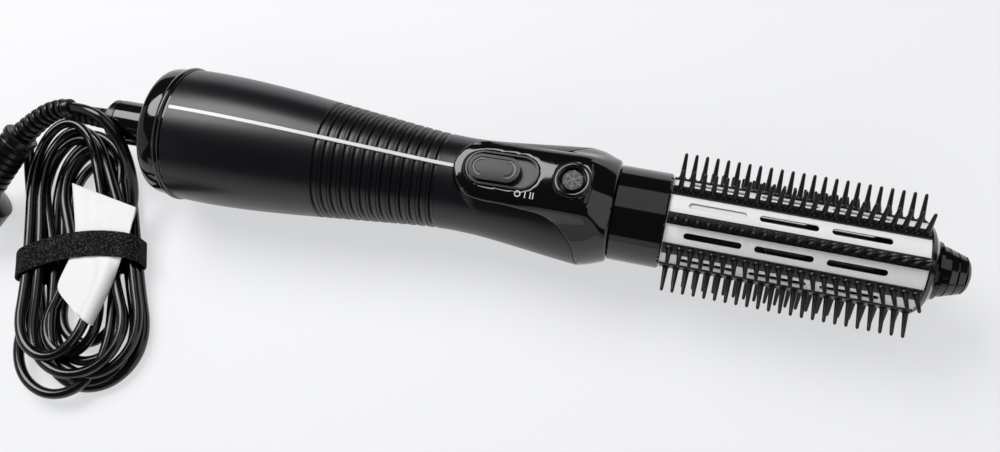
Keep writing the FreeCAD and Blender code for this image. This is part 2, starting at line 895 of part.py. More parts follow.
SWIVEL_FRONT = "(swivel_length - swivel_gap)"
STUB_FRONT = "(swivel_length + stub_length)"
swivel = turned("swivel_ring", [
    ("0", "relief_tip_radius + 0.5"),
    ("0", "swivel_rear_radius"),
    ("swivel_length * 0.25", "swivel_radius - 1.2"),
    ("swivel_length * 0.5", "swivel_radius"),
    (SWIVEL_FRONT, "swivel_radius"),
    (SWIVEL_FRONT, "stub_radius"),
    (STUB_FRONT, "stub_radius"),
    (STUB_FRONT, "boss_bore"),
    ("relief_seat + 0.2", "boss_bore"),
    ("relief_seat + 0.2", "relief_tip_radius + 0.5"),
])
on_axis(swivel, STATION["swivel_rear"])


def relief_profile():
    """Outline of the ribbed cord relief, with a shank that seats in the swivel ring."""
    count = int(value("relief_ribs"))
    points = [("0", "0")]
    for k in range(count):
        start = f"relief_length * {k} / {count}"
        middle = f"relief_length * ({k} + 0.6) / {count}"
        end = f"relief_length * ({k} + 1) / {count}"
        here = f"relief_tip_radius + (relief_root_radius - relief_tip_radius) * ({k} + 0.5) / {count}"
        points += [(start, here), (middle, here)]
        points += [(middle, f"{here} - relief_rib_depth"), (end, f"{here} - relief_rib_depth")]
    shank = "relief_tip_radius + 0.4"
    points[-2:] = [("relief_length", points[-3][1])]
    points += [("relief_length", shank), ("relief_length + relief_seat", shank)]
    points += [("relief_length + relief_seat", "0")]
    return points


relief = turned("strain_relief", relief_profile())
on_axis(relief, STATION["rear"])


# Fan, motor and the mount that holds them.
def slab(start, length):
    return Part.makeBox(length, BIG, BIG, Vector(start, -BIG / 2, -BIG / 2))


def seated_disc(start, length, bore):
    """A disc that fills the handle's inside, with a bore through its middle."""
    disc = body_form(value("shell_wall + seat_gap"), overrun=5.0).common(slab(start, length))
    return disc.cut(Part.makeCylinder(bore, 2 * BIG, Vector(-BIG, 0, 0), Vector(1, 0, 0)))


FAN_REAR = f"({STATION['body_rear']} + fan_from_rear)"
FAN_FRONT = f"({FAN_REAR} + fan_length)"
MOTOR_REAR = f"({FAN_FRONT} + motor_from_fan)"
MOTOR_FRONT = f"({MOTOR_REAR} + motor_length)"
LEAD_RADIUS = value("lead_radius")
LEAD_SPREAD = value("lead_spread")
LEAD_CHANNEL = value("lead_channel")


def lead_channels():
    channels = []
    for side in (-1, 1):
        start = Vector(-BIG, side * LEAD_SPREAD, -LEAD_CHANNEL)
        channels.append(Part.makeCylinder(LEAD_RADIUS + 0.2, 2 * BIG, start, Vector(1, 0, 0)))
    return channels


shroud = seated_disc(value(FAN_REAR), value("fan_length"), value("fan_radius + blade_gap"))
shaped("fan_shroud", shroud.cut(lead_channels()), AXIS_HEIGHT)

impeller = turned("impeller", [
    ("0", "0"),
    ("0", "hub_radius - 2.5"),
    ("1.5", "hub_radius"),
    ("hub_length", "hub_radius"),
    ("hub_length", "0"),
])
ALONG_CHORD = ("sin(blade_pitch * 1 deg)", "cos(blade_pitch * 1 deg)")
blade_corners = []
for chord_side, face_side in [(1, 1), (1, -1), (-1, -1), (-1, 1)]:
    half_chord = f"{chord_side} * blade_chord / 2"
    half_face = f"{face_side} * blade_thickness / 2"
    blade_corners.append((
        f"hub_length / 2 + ({half_chord}) * {ALONG_CHORD[0]} + ({half_face}) * {ALONG_CHORD[1]}",
        f"({half_chord}) * {ALONG_CHORD[1]} - ({half_face}) * {ALONG_CHORD[0]}",
    ))
blade_sketch = new_sketch(impeller, "blade_outline", "XY_Plane")
draw_polygon(blade_sketch, blade_corners)
blade = impeller.newObject("PartDesign::Pad", "blade")
blade.Profile = blade_sketch
blade.setExpression("Length", sized("fan_radius - 0.6"))
ringed(impeller, blade, "blade_count")
pierced(impeller, "shaft_bore", circle=("0", "0", "shaft_radius"))
on_axis(impeller, f"{FAN_REAR} + 1")

shaft = turned("motor_shaft", [
    ("0", "0"),
    ("0", "shaft_radius"),
    ("fan_length + motor_from_fan + motor_length + 1", "shaft_radius"),
    ("fan_length + motor_from_fan + motor_length + 1", "0"),
])
on_axis(shaft, f"{FAN_REAR} + 0.5")

motor = turned("motor_can", [
    ("0", "shaft_radius + shaft_gap"),
    ("0", "motor_radius * 0.36"),
    ("1.2", "motor_radius * 0.36"),
    ("1.2", "motor_radius - 0.8"),
    ("2.0", "motor_radius"),
    ("motor_length", "motor_radius"),
    ("motor_length", "shaft_radius + shaft_gap"),
])
on_axis(motor, MOTOR_REAR)


def motor_mount():
    """A hub round the motor on three spokes, with a foot on the handle's wall at each."""
    start = value(MOTOR_REAR) + value("mount_from_rear")
    length = value("mount_length")
    foot_width = value("mount_foot_width")
    ahead = Vector(1, 0, 0)
    hub_radius = value("motor_radius + seat_gap")
    hub = Part.makeCylinder(hub_radius + value("mount_wall"), length, Vector(start, 0, 0), ahead)
    form = seated_disc(start, length, value("motor_radius"))
    wall_radius = skin_radius(start + length) - value("shell_wall")
    feet = seated_disc(start, length, wall_radius - value("mount_foot_height"))
    pieces = [hub]
    for angle in (90, 210, 330):
        spoke = Part.makeBox(length, value("spoke_width"), BIG, Vector(start, -value("spoke_width") / 2, 0))
        spoke.rotate(Vector(0, 0, 0), ahead, angle - 90)
        foot = Part.makeBox(length, foot_width, BIG, Vector(start, -foot_width / 2, 0))
        foot.rotate(Vector(0, 0, 0), ahead, angle - 90)
        pieces += [spoke.common(form), foot.common(feet)]
    mount = pieces[0].fuse(pieces[1:])
    bore = Part.makeCylinder(hub_radius, length, Vector(start, 0, 0), ahead)
    return mount.cut(bore)


shaped("motor_mount", motor_mount(), AXIS_HEIGHT)

rectifier = turned("rectifier_board", [
    ("0", "shaft_radius + 1"),
    ("0", "rectifier_radius"),
    ("rectifier_thickness", "rectifier_radius"),
    ("rectifier_thickness", "shaft_radius + 1"),
])
diode_sketch = new_sketch(rectifier, "diode_outline", "YZ_Plane")
draw_circle(diode_sketch, "0", "diode_ring_radius", "diode_radius")
diode = rectifier.newObject("PartDesign::Pad", "diode")
diode.Profile = diode_sketch
diode.setExpression("Length", sized("rectifier_thickness + diode_length"))
diode_ring = rectifier.newObject("PartDesign::PolarPattern", "diodes")
diode_ring.Originals = [diode]
diode_ring.Axis = (plane_of(rectifier, "X_Axis"), [""])
diode_ring.Occurrences = 4
rectifier.Tip = diode_ring
on_axis(rectifier, MOTOR_FRONT)

# Heater.
HEATER_REAR = f"({STATION['knee']} + heater_past_knee - heater_length)"
BULKHEAD_REAR = f"({HEATER_REAR} - 2)"
bulkhead = seated_disc(value(BULKHEAD_REAR), value("bulkhead_thickness"), value("heater_radius + seat_gap"))
shaped("heater_bulkhead", bulkhead, AXIS_HEIGHT)

heater_tube = turned("heater_tube", [
    ("0", "heater_radius - heater_wall"),
    ("0", "heater_radius"),
    ("heater_length", "heater_radius"),
    ("heater_length", "heater_radius - heater_wall"),
])
on_axis(heater_tube, HEATER_REAR)

FORMER_REAR = value(HEATER_REAR) + value("former_from_rear")
COIL_START = FORMER_REAR + value("coil_from_former")


def wound(radius, wire, turns, pitch):
    """Round wire wound up Z in half turns, each one tilted so that it climbs half a pitch."""
    tilt = math.atan2(pitch / 2, 2 * radius)
    halves = []
    for k in range(2 * turns):
        side = 1 if k % 2 == 0 else -1
        start = Vector(side * radius, 0, k * pitch / 2)
        middle = Vector(0, 0, (k + 0.5) * pitch / 2)
        section = Part.Face(Part.Wire(Part.Circle(start, Vector(0, 1, 0), wire).toShape()))
        halves.append(section.revolve(middle, Vector(side * math.sin(tilt), 0, math.cos(tilt)), 180))
    return halves[0].fuse(halves[1:])


def coil(wire):
    """The heating coil, along the brush's axis."""
    winding = wound(value("coil_radius"), wire, int(value("coil_count")), value("coil_pitch"))
    winding.rotate(Vector(0, 0, 0), Vector(0, 1, 0), 90)
    winding.translate(Vector(COIL_START, 0, 0))
    return winding


def heater_former():
    """Two crossed mica plates with a notch wherever the coil passes."""
    half = value("former_radius")
    thick = value("former_thickness")
    length = value("former_length")
    upright = Part.makeBox(length, thick, 2 * half, Vector(FORMER_REAR, -thick / 2, -half))
    level = Part.makeBox(length, 2 * half, thick, Vector(FORMER_REAR, -half, -thick / 2))
    return upright.fuse(level).removeSplitter().cut(coil(value("coil_wire + coil_notch")))


shaped("heater_former", heater_former(), AXIS_HEIGHT)
shaped("heater_coil", coil(value("coil_wire")), AXIS_HEIGHT)


def square_block(label, start, size, lift, aside="0"):
    """A plain block as a padded rectangle: its plan on the XY plane, and its height."""
    length, width, height = size
    body = padded(label, "XY_Plane", [
        ("0", f"-({width}) / 2"),
        (length, f"-({width}) / 2"),
        (length, f"({width}) / 2"),
        ("0", f"({width}) / 2"),
    ], height)
    body.setExpression("Placement.Base.x", sized(start))
    body.setExpression("Placement.Base.y", sized(aside))
    body.setExpression("Placement.Base.z", sized(f"{AXIS_HEIGHT} + {lift}"))
    return node(body, label)


BOARD_FRONT = f"({STATION['knee']} - board_behind_knee)"
BOARD_TOP = "board_height + board_thickness"
square_block(
    "circuit_board", f"{BOARD_FRONT} - board_length",
    ("board_length", "board_width", "board_thickness"), "board_height",
)
BUTTON_X = f"({STATION['knee']} - switch_from_knee + button_from_switch * cos(deck_tilt * 1 deg))"
square_block(
    "cold_shot_microswitch", f"{BUTTON_X} - microswitch_length / 2",
    ("microswitch_length", "microswitch_width", "microswitch_height"), BOARD_TOP,
)
SWITCH_X = f"({STATION['knee']} - switch_from_knee)"
square_block(
    "thermal_fuse", f"{HEATER_REAR} + fuse_from_rear",
    ("fuse_length", "fuse_width", "fuse_width"), "former_thickness / 2", "fuse_aside",
)
square_block(
    "thermostat", f"{HEATER_REAR} + thermostat_from_rear",
    ("thermostat_length", "thermostat_width", "thermostat_height"), "former_thickness / 2", "thermostat_aside",
)


def slide_switch_body():
    """The slide switch, with a slot where the slider's stem, square to the deck, comes down."""
    length = value("switch_body_length")
    width = value("switch_body_width")
    height = value("switch_body_height")
    base = value(BOARD_TOP)
    body = Part.makeBox(length, width, height, Vector(DECK_X - length / 2, -width / 2, base))
    slot_length = value("stem_length + slider_travel + 2 * stem_gap")
    slot_width = value("stem_width + 2 * stem_gap")
    lean = math.tan(DECK_TILT) * (value("deck_height") - base - height / 2)
    corner = Vector(DECK_X + lean - slot_length / 2, -slot_width / 2, base + 0.6)
    return body.cut(Part.makeBox(slot_length, slot_width, height, corner))


shaped("slide_switch_body", slide_switch_body(), AXIS_HEIGHT)


# Deck controls, drawn level and then tilted with the deck.
def crown_form(raised):
    """Everything under the deck's crown, raised or sunk by an amount, drawn level."""
    radius = value("deck_crown_radius")
    start = Vector(-BIG / 2, 0, -radius)
    return Part.makeCylinder(radius + raised, BIG, start, Vector(1, 0, 0))


def switch_tray():
    rim = 2 * value("tray_rim")
    length = value("tray_length")
    width = value("tray_width")
    bottom = -value("tray_depth + tray_floor")
    tray = stadium(length + rim, width + rim, bottom, 5).common(crown_form(value("tray_proud")))
    tray = tray.cut(stadium(length, width, -value("tray_depth"), 6))
    slot_length = value("stem_length + slider_travel + 2 * stem_gap")
    slot_width = value("stem_width + 2 * stem_gap")
    slot = Part.makeBox(slot_length, slot_width, PAST, Vector(-slot_length / 2, -slot_width / 2, -PAST / 2))
    return tray.cut(slot)


def switch_cap():
    """The slider in its rear position: crowned top, dished, with two thumb grooves."""
    centre = -value("slider_travel") / 2
    bottom = -value("tray_depth - slider_gap")
    top = value("slider_proud")
    cap = stadium(value("slider_length"), value("slider_width"), bottom, 5, centre).common(crown_form(top))
    dish = stadium(value("dish_length"), value("dish_width"), -4, 6, centre)
    dish = dish.cut(crown_form(top - value("dish_depth")))
    cap = cap.cut(dish)
    ahead = value("dish_length - dish_width") / 2
    groove = value("thumb_groove")
    groove_floor = crown_form(top - value("dish_depth + thumb_groove_depth"))
    for sign in (-1, 1):
        at = Vector(centre + sign * ahead, 0, -PAST / 2)
        outer = value("dish_width") / 2 - groove
        arc = Part.makeCylinder(outer, PAST, at).cut(Part.makeCylinder(outer - groove, PAST, at))
        half_at = Vector(at.x if sign > 0 else at.x - PAST, -PAST / 2, -PAST / 2)
        half = Part.makeBox(PAST, PAST, PAST, half_at)
        cap = cap.cut(arc.common(half).cut(groove_floor))
    stem_drop = value("tray_depth + tray_floor + stem_drop")
    length = value("stem_length")
    width = value("stem_width")
    corner = Vector(centre - length / 2, -width / 2, -stem_drop)
    return cap.fuse(Part.makeBox(length, width, stem_drop + bottom + 0.5, corner)).removeSplitter()


shaped("switch_tray", deck_solid(switch_tray()), AXIS_HEIGHT)
shaped("switch_cap", deck_solid(switch_cap()), AXIS_HEIGHT)


def on_deck(part, along, up):
    """Stands a piece square on the deck, measured from the switch's middle."""
    part.Placement = Placement(Vector(0, 0, 0), Rotation(Vector(0, -1, 0), value("deck_tilt")))
    ahead = f"({along}) * cos(deck_tilt * 1 deg) - ({up}) * sin(deck_tilt * 1 deg)"
    rise = f"({along}) * sin(deck_tilt * 1 deg) + ({up}) * cos(deck_tilt * 1 deg)"
    part.setExpression("Placement.Base.x", sized(f"{SWITCH_X} + {ahead}"))
    part.setExpression("Placement.Base.z", sized(f"{AXIS_HEIGHT} + deck_height + {rise}"))


bezel = turned("button_bezel", [
    ("bezel_bore", "-bezel_depth"),
    ("bezel_radius", "-bezel_depth"),
    ("bezel_radius", "0"),
    ("bezel_radius - 0.4", "bezel_proud"),
    ("bezel_bore + 0.5", "bezel_proud"),
    ("bezel_bore", "bezel_proud - 0.4"),
], "V_Axis")
on_deck(bezel, "button_from_switch", "0")

BUTTON_TOP = "bezel_proud - button_recess"
FLANGE_TOP = "-bezel_depth - 0.1"
button = turned("cold_shot_button", [
    ("0", f"{FLANGE_TOP} - button_flange - button_stem"),
    ("button_stem_radius", f"{FLANGE_TOP} - button_flange - button_stem"),
    ("button_stem_radius", f"{FLANGE_TOP} - button_flange"),
    ("button_flange_radius", f"{FLANGE_TOP} - button_flange"),
    ("button_flange_radius", FLANGE_TOP),
    ("button_radius", FLANGE_TOP),
    ("button_radius", f"{BUTTON_TOP} - 0.5"),
    ("button_radius - 0.6", BUTTON_TOP),
    ("0", BUTTON_TOP),
], "V_Axis")
on_deck(button, "button_from_switch", "0")


def spring(radius, wire, turns, height):
    """A round-wire compression spring standing on Z, clear of both of its seats."""
    rise = height - 2 * wire - 0.1
    winding = wound(radius, wire, turns, rise / turns)
    winding.translate(Vector(0, 0, wire + 0.05))
    return winding


def button_spring():
    along = value("button_from_switch")
    top = value(f"{FLANGE_TOP} - button_flange")
    seat = value(f"{BOARD_TOP} + microswitch_height - deck_height")
    bottom = seat / math.cos(DECK_TILT) - along * math.tan(DECK_TILT) + 0.25
    turns = int(value("spring_turns"))
    coil_spring = spring(value("spring_radius"), value("spring_wire"), turns, top - bottom)
    coil_spring.translate(Vector(along, 0, bottom))
    return deck_solid(coil_spring)


shaped("button_spring", button_spring(), AXIS_HEIGHT)

# Nozzle, catch ring and brush sleeve.
NOZZLE_REAR = f"({STATION['housing_front']} - housing_wall - spigot_flange)"
NOZZLE_FRONT = f"({STATION['sleeve_front']} - spigot_front_margin)"
NOZZLE_LENGTH = f"({NOZZLE_FRONT} - {NOZZLE_REAR})"
nozzle = turned("air_nozzle", [
    ("0", "heater_radius + seat_gap"),
    ("0", "spigot_flange_radius"),
    ("spigot_flange", "spigot_flange_radius"),
    ("spigot_flange", "spigot_radius"),
    (NOZZLE_LENGTH, "spigot_radius"),
    (NOZZLE_LENGTH, "heater_radius + seat_gap"),
])
on_axis(nozzle, NOZZLE_REAR)

CATCH_BORE = "(spigot_radius + catch_gap)"
catch = turned("catch_ring", [
    ("0", CATCH_BORE),
    ("0", "catch_radius"),
    ("catch_length * 0.4", "catch_radius"),
    ("catch_length * 0.4", "catch_radius + catch_lug"),
    ("catch_length * 0.6", "catch_radius + catch_lug"),
    ("catch_length * 0.6", "catch_radius"),
    ("catch_length", "catch_radius"),
    ("catch_length", CATCH_BORE),
])
on_axis(catch, f"{STATION['housing_front']} + 2.5")

SLEEVE_FRONT = "sleeve_length"
SEAT = "(sleeve_length - barrel_seat)"
sleeve = turned("brush_sleeve", [
    ("sleeve_gap", "sleeve_bore"),
    ("sleeve_gap", "sleeve_radius - 0.4"),
    ("sleeve_gap + 0.4", "sleeve_radius"),
    ("sleeve_length - 0.8", "barrel_radius + sleeve_step"),
    (SLEEVE_FRONT, "barrel_radius + sleeve_step - 0.8"),
    (SLEEVE_FRONT, "barrel_radius + seat_gap"),
    (SEAT, "barrel_radius + seat_gap"),
    (SEAT, "heater_radius + 0.5"),
    (f"{SEAT} - sleeve_front_wall + 1", "heater_radius + 0.5"),
    (f"{SEAT} - sleeve_front_wall + 1", "sleeve_bore"),
])
on_axis(sleeve, STATION["housing_front"])

# Barrel: a slotted tube. Its rows and slots are set out from a first angle round the axis.
TUBE_LENGTH = "(barrel_seat + barrel_length)"


def draw_slot(sketch, start, length, radius):
    """A slot with round ends that lies along the sketch's own first axis."""
    first = len(sketch.Geometry)
    half = value(radius)
    rear_centre = f"{start} + {radius}"
    front_centre = f"{start} + {length} - {radius}"
    behind = Vector(value(rear_centre), 0, 0)
    ahead = Vector(value(front_centre), 0, 0)
    up = Vector(0, half, 0)
    quarter = math.pi / 2
    rear_round = Part.Circle(behind, Vector(0, 0, 1), half)
    front_round = Part.Circle(ahead, Vector(0, 0, 1), half)
    sketch.addGeometry(Part.LineSegment(ahead + up, behind + up))
    sketch.addGeometry(Part.ArcOfCircle(rear_round, quarter, 3 * quarter))
    sketch.addGeometry(Part.LineSegment(behind - up, ahead - up))
    sketch.addGeometry(Part.ArcOfCircle(front_round, -quarter, quarter))
    for k in range(4):
        following = first + (k + 1) % 4
        sketch.addConstraint(Sketcher.Constraint("Tangent", first + k, 2, following, 1))
    for name, arc, text in (("rear", first + 1, rear_centre), ("front", first + 3, front_centre)):
        sketch.addConstraint(Sketcher.Constraint("PointOnObject", arc, 3, -1))
        index = sketch.addConstraint(Sketcher.Constraint("DistanceX", -1, 1, arc, 3, value(text)))
        sketch.renameConstraint(index, f"{name}{arc}")
        sketch.setExpression(f"Constraints.{name}{arc}", sized(text))
    index = sketch.addConstraint(Sketcher.Constraint("Radius", first + 1, half))
    sketch.renameConstraint(index, f"round{first}")
    sketch.setExpression(f"Constraints.round{first}", sized(radius))


barrel = turned("barrel", [
    ("0", "barrel_radius - barrel_wall"),
    ("0", "barrel_radius"),
    (TUBE_LENGTH, "barrel_radius"),
    (TUBE_LENGTH, "barrel_radius - barrel_wall"),
])
slot_sketch = new_sketch(barrel, "steam_slot_outline", "XY_Plane")
for k in range(int(value("slot_count"))):
    draw_slot(slot_sketch, f"barrel_seat + slot_first + {k} * slot_pitch", "slot_length", "slot_width / 2")
steam_slots = barrel.newObject("PartDesign::Pocket", "steam_slots")
steam_slots.Profile = slot_sketch
steam_slots.Type = "ThroughAll"
steam_slots.Reversed = True
ringed(barrel, steam_slots, "row_count")
panel_angle = value("row_phase + 180 / row_count")
barrel.Placement = Placement(Vector(0, 0, 0), Rotation(Vector(1, 0, 0), panel_angle))
on_axis(barrel, f"{STATION['sleeve_front']} - barrel_seat")

STRIP_RADIUS = "(barrel_radius + 0.05 + strip_thickness)"
REACH = "(barrel_radius + bristle_height)"


def bristle_strip(number):
    """One row: a curved strip on the barrel with its bristles, each on a small mound."""
    label = f"bristle_strip_{number + 1}"
    body = doc.addObject("PartDesign::Body", label)
    sketch = new_sketch(body, label + "_section", "XZ_Plane")
    draw_polygon(sketch, [
        ("0", "barrel_radius + 0.05"),
        ("0", STRIP_RADIUS),
        ("barrel_length - 0.6", STRIP_RADIUS),
        ("barrel_length - 0.6", "barrel_radius + 0.05"),
    ])
    base = body.newObject("PartDesign::Revolution", label + "_base")
    base.Profile = sketch
    base.ReferenceAxis = (sketch, ["H_Axis"])
    base.Midplane = True
    base.setExpression("Angle", sized("strip_angle * 1 deg"))
    profile = new_sketch(body, label + "_bristle_profile", "XZ_Plane")
    profile.setExpression("AttachmentOffset.Base.x", sized("bristle_first - 0.3"))
    draw_polygon(profile, [
        ("0", f"{STRIP_RADIUS} - 0.4"),
        ("mound_radius", f"{STRIP_RADIUS} - 0.4"),
        ("mound_radius", STRIP_RADIUS),
        ("bristle_root_radius + 0.2", f"{STRIP_RADIUS} + mound_height"),
        ("bristle_root_radius", f"{STRIP_RADIUS} + mound_height"),
        ("bristle_tip_radius", f"{REACH} - bristle_tip_radius"),
        ("bristle_tip_radius * 0.75", f"{REACH} - bristle_tip_radius * 0.35"),
        ("bristle_tip_radius * 0.3", REACH),
        ("0", REACH),
    ])
    bristle = body.newObject("PartDesign::Revolution", label + "_bristle")
    bristle.Profile = profile
    bristle.ReferenceAxis = (profile, ["V_Axis"])
    bristle.Angle = 360
    row = body.newObject("PartDesign::LinearPattern", label + "_row")
    row.Originals = [bristle]
    row.Direction = (plane_of(body, "X_Axis"), [""])
    row.setExpression("Length", sized("barrel_length - bristle_first - bristle_last"))
    row.setExpression("Occurrences", sized("bristle_count"))
    body.Tip = row
    angle = value(f"row_phase + {number} * 360 / row_count")
    body.Placement = Placement(Vector(0, 0, 0), Rotation(Vector(1, 0, 0), angle))
    on_axis(body, f"{STATION['sleeve_front']} + 0.3")
    return node(body, label)


for number in range(int(value("row_count"))):
    bristle_strip(number)

# End cap, knob and steam cartridge.
end_cap = turned("end_cap", [
    ("-cap_plug_length", "cap_bore"),
    ("-cap_plug_length", "barrel_radius - barrel_wall - seat_gap"),
    ("0", "barrel_radius - barrel_wall - seat_gap"),
    ("0", "barrel_radius + cap_lip"),
    ("0.6", "barrel_radius + cap_lip"),
    ("cap_length * 0.32", "barrel_radius - cap_shoulder_drop"),
    ("cap_length * 0.8", "cap_rim_radius"),
    ("cap_length", "cap_rim_radius"),
    ("cap_length", "cap_recess_radius"),
    ("cap_length - cap_recess", "cap_recess_radius"),
    ("cap_length - cap_recess", "cap_bore"),
])
on_axis(end_cap, STATION["barrel_front"])


def knob_profile():
    """The knob's outline: a stem, a sunk root, and a nose stepped by grooves."""
    span = "knob_length - knob_groove_first"
    slope = f"(knob_root_radius - knob_tip_radius) / ({span})"
    points = [
        ("-knob_sunk - press_stem", "0"),
        ("-knob_sunk - press_stem", "press_stem_radius"),
        ("-knob_sunk", "press_stem_radius"),
        ("-knob_sunk", "knob_root_radius"),
    ]
    for k in range(3):
        start = f"knob_groove_first + {k} * knob_groove_pitch"
        before = f"knob_root_radius - {slope} * {k} * knob_groove_pitch - 0.5"
        points += [
            (start, before),
            (start, f"{before} - knob_groove"),
            (f"{start} + knob_groove_width", f"{before} - knob_groove"),
            (f"{start} + knob_groove_width", f"{before} - 0.3"),
        ]
    points += [("knob_length - 1", "knob_nose_radius + 1.4"), ("knob_length", "knob_nose_radius - 1")]
    points += [("knob_length", "0")]
    return points


knob = turned("tip_knob", knob_profile())
on_axis(knob, STATION["cap_front"])

CARTRIDGE_FRONT = f"({STATION['cap_front']} - cap_recess)"
CARTRIDGE_REAR = f"({CARTRIDGE_FRONT} - cartridge_length)"
HEAD_REAR = "(cartridge_length - cartridge_head)"
GROOVE_REAR = f"({HEAD_REAR} + cartridge_head / 2 - seal_groove_width / 2)"
GROOVE_FLOOR = "(cartridge_head_radius - seal_groove)"
COUNTERBORE = "(cartridge_length - cartridge_head_bore_depth)"
WICK_HOLE = "(wick_radius + seat_gap)"
cartridge = turned("water_cartridge", [
    ("0", WICK_HOLE),
    ("0", "cartridge_radius - 1.5"),
    ("1.5", "cartridge_radius"),
    (HEAD_REAR, "cartridge_radius"),
    (HEAD_REAR, "cartridge_head_radius"),
    (GROOVE_REAR, "cartridge_head_radius"),
    (GROOVE_REAR, GROOVE_FLOOR),
    (f"{GROOVE_REAR} + seal_groove_width", GROOVE_FLOOR),
    (f"{GROOVE_REAR} + seal_groove_width", "cartridge_head_radius"),
    ("cartridge_length", "cartridge_head_radius"),
    ("cartridge_length", "cartridge_head_bore"),
    (COUNTERBORE, "cartridge_head_bore"),
    (COUNTERBORE, "press_stem_radius + 0.2"),
    (f"{HEAD_REAR} - cartridge_wall", "press_stem_radius + 0.2"),
    (f"{HEAD_REAR} - cartridge_wall", "cartridge_radius - cartridge_wall"),
    ("cartridge_wall + 1", "cartridge_radius - cartridge_wall"),
    ("cartridge_wall + 1", WICK_HOLE),
])
on_axis(cartridge, CARTRIDGE_REAR)

seal = turned("cartridge_seal", [
    ("0.05", GROOVE_FLOOR),
    ("0.05", "seal_radius - 0.4"),
    ("0.45", "seal_radius"),
    ("seal_groove_width - 0.45", "seal_radius"),
    ("seal_groove_width - 0.05", "seal_radius - 0.4"),
    ("seal_groove_width - 0.05", GROOVE_FLOOR),
])
on_axis(seal, f"{CARTRIDGE_REAR} + {GROOVE_REAR}")

wick = turned("wick", [
    ("0", "0"),
    ("0", "wick_radius - 0.5"),
    ("0.5", "wick_radius"),
    ("wick_length", "wick_radius"),
    ("wick_length", "0"),
])
on_axis(wick, f"{CARTRIDGE_REAR} - wick_out")


def steam_spring():
    seat = value(f"{CARTRIDGE_REAR} + {COUNTERBORE}")
    top = value(f"{STATION['cap_front']} - knob_sunk")
    coil_spring = spring(value("steam_spring_radius"), value("steam_spring_wire"), 3, top - seat)
    coil_spring.rotate(Vector(0, 0, 0), Vector(0, 1, 0), 90)
    coil_spring.translate(Vector(seat, 0, 0))
    return coil_spring


shaped("steam_spring", steam_spring(), AXIS_HEIGHT)


# Round cords: straight runs joined by arcs that both of them touch.
def cord_edges(name, points):
    """The middle line of a cord, with an arc let into every corner."""
    corners = [Vector(*point) for point in points]
    edges = []
    radii = []
    here = corners[0]
    for k in range(1, len(corners) - 1):
        before = corners[k] - corners[k - 1]
        after = corners[k + 1] - corners[k]
        turn = before.getAngle(after)
        setback = 0.45 * min(before.Length, after.Length)
        radii.append(setback / math.tan(turn / 2))
        start = corners[k] - before.normalize() * setback
        end = corners[k] + after.normalize() * setback
        bisector = (after - before).normalize()
        deep = radii[-1] * (1 / math.cos(turn / 2) - 1)
        middle = corners[k] + bisector * deep
        edges.append(Part.makeLine(here, start))
        edges.append(Part.Arc(start, middle, end).toShape())
        here = end
    edges.append(Part.makeLine(here, corners[-1]))
    length = sum(edge.Length for edge in edges)
    rounded = [round(radius, 1) for radius in radii]
    print(f"{name}: length {length:.1f} mm, bend radii {rounded}")
    return edges


def cord_tube(name, points, radius):
    edges = cord_edges(name, points)
    start = Vector(*points[0])
    heading = (Vector(*points[1]) - start).normalize()
    section = Part.Wire(Part.Circle(start, heading, radius).toShape())
    tube = Part.Wire(edges).makePipeShell([section], True, False)
    expected = math.pi * radius ** 2 * sum(edge.Length for edge in edges)
    print(f"{name}: volume {tube.Volume:.1f}, section times length {expected:.1f}")
    return tube


def mains_leads():
    """Two insulated leads from the cord boss, past the fan and the motor, to the heater."""
    boss_front = station("boss_rear") + value(BOSS_FRONT)
    fan_rear = value(FAN_REAR)
    fan_front = value(FAN_FRONT)
    wall_end = value(BULKHEAD_REAR)
    leads = []
    for side in (-1, 1):
        route = [
            (boss_front - 12, side * 1.3, 0),
            (boss_front + 1.4, side * 1.35, -0.2),
            (boss_front + 3.3, side * 1.9, -12),
            (boss_front + 3.4, side * 2.3, -19.8),
            (fan_rear - 3.5, side * LEAD_SPREAD, -LEAD_CHANNEL),
            (fan_front + 5.5, side * LEAD_SPREAD, -LEAD_CHANNEL + 0.05),
            (fan_front + 11, side * LEAD_SPREAD, -16.5),
            (value(MOTOR_FRONT) + 2, side * 2.5, -16.0),
            (value(MOTOR_FRONT) + 16, side * 2.4, -9.0),
            (wall_end, side * 2.3, -8.8),
        ]
        leads.append(cord_tube("lead", route, LEAD_RADIUS))
    return Part.makeCompound(leads)


shaped("mains_leads", mains_leads(), AXIS_HEIGHT)

# Mains cord on the table: a short lead, one tied hank, and a tail to the plug.
CORD_RADIUS = value("cord_diameter") / 2
LEAD_ROUTE = [
    (station("rear"), 0, value(AXIS_HEIGHT)),
    (-214.5, 0, 31),
    (-221.5, -2.5, 26.5),
    (-226.8, -10.5, 17.5),
    (-226.0, -22.0, 10.0),
    (-221.5, -37.0, 8.0),
]
TAIL_ROUTE = [
    (-168.5, -45.0, 8.6),
    (-166.2, -34.5, 10.5),
    (-165.5, -25.0, 20.0),
    (-166.0, -15.5, 34.5),
    (-172.5, -6.5, 44.3),
    (-184.0, -1.9, 45.8),
    (-194.1, -2.0, 43.6),
]
RELIEF_ROUTE = [
    (-194.1, -2.0, 43.6),
    (-202.5, -3.2, 41.4),
    (-212.3, -8.2, 37.6),
    (-221.3, -16.5, 33.0),
]
PLUG_HEADING = Vector(-0.549, -0.767, -0.333).normalize()
HANK_OUTLINE = [
    (-215.2, 1.0), (-226.5, -12.9), (-224.7, -30.3), (-217.5, -60.9), (-209.6, -90.0),
    (-200.1, -107.8), (-187.6, -121.9), (-170.1, -126.5), (-154.5, -120.7), (-144.4, -107.8),
    (-140.4, -90.3), (-144.6, -76.5), (-156.0, -53.8), (-168.8, -30.2), (-181.2, -13.8),
    (-196.9, -2.4),
]
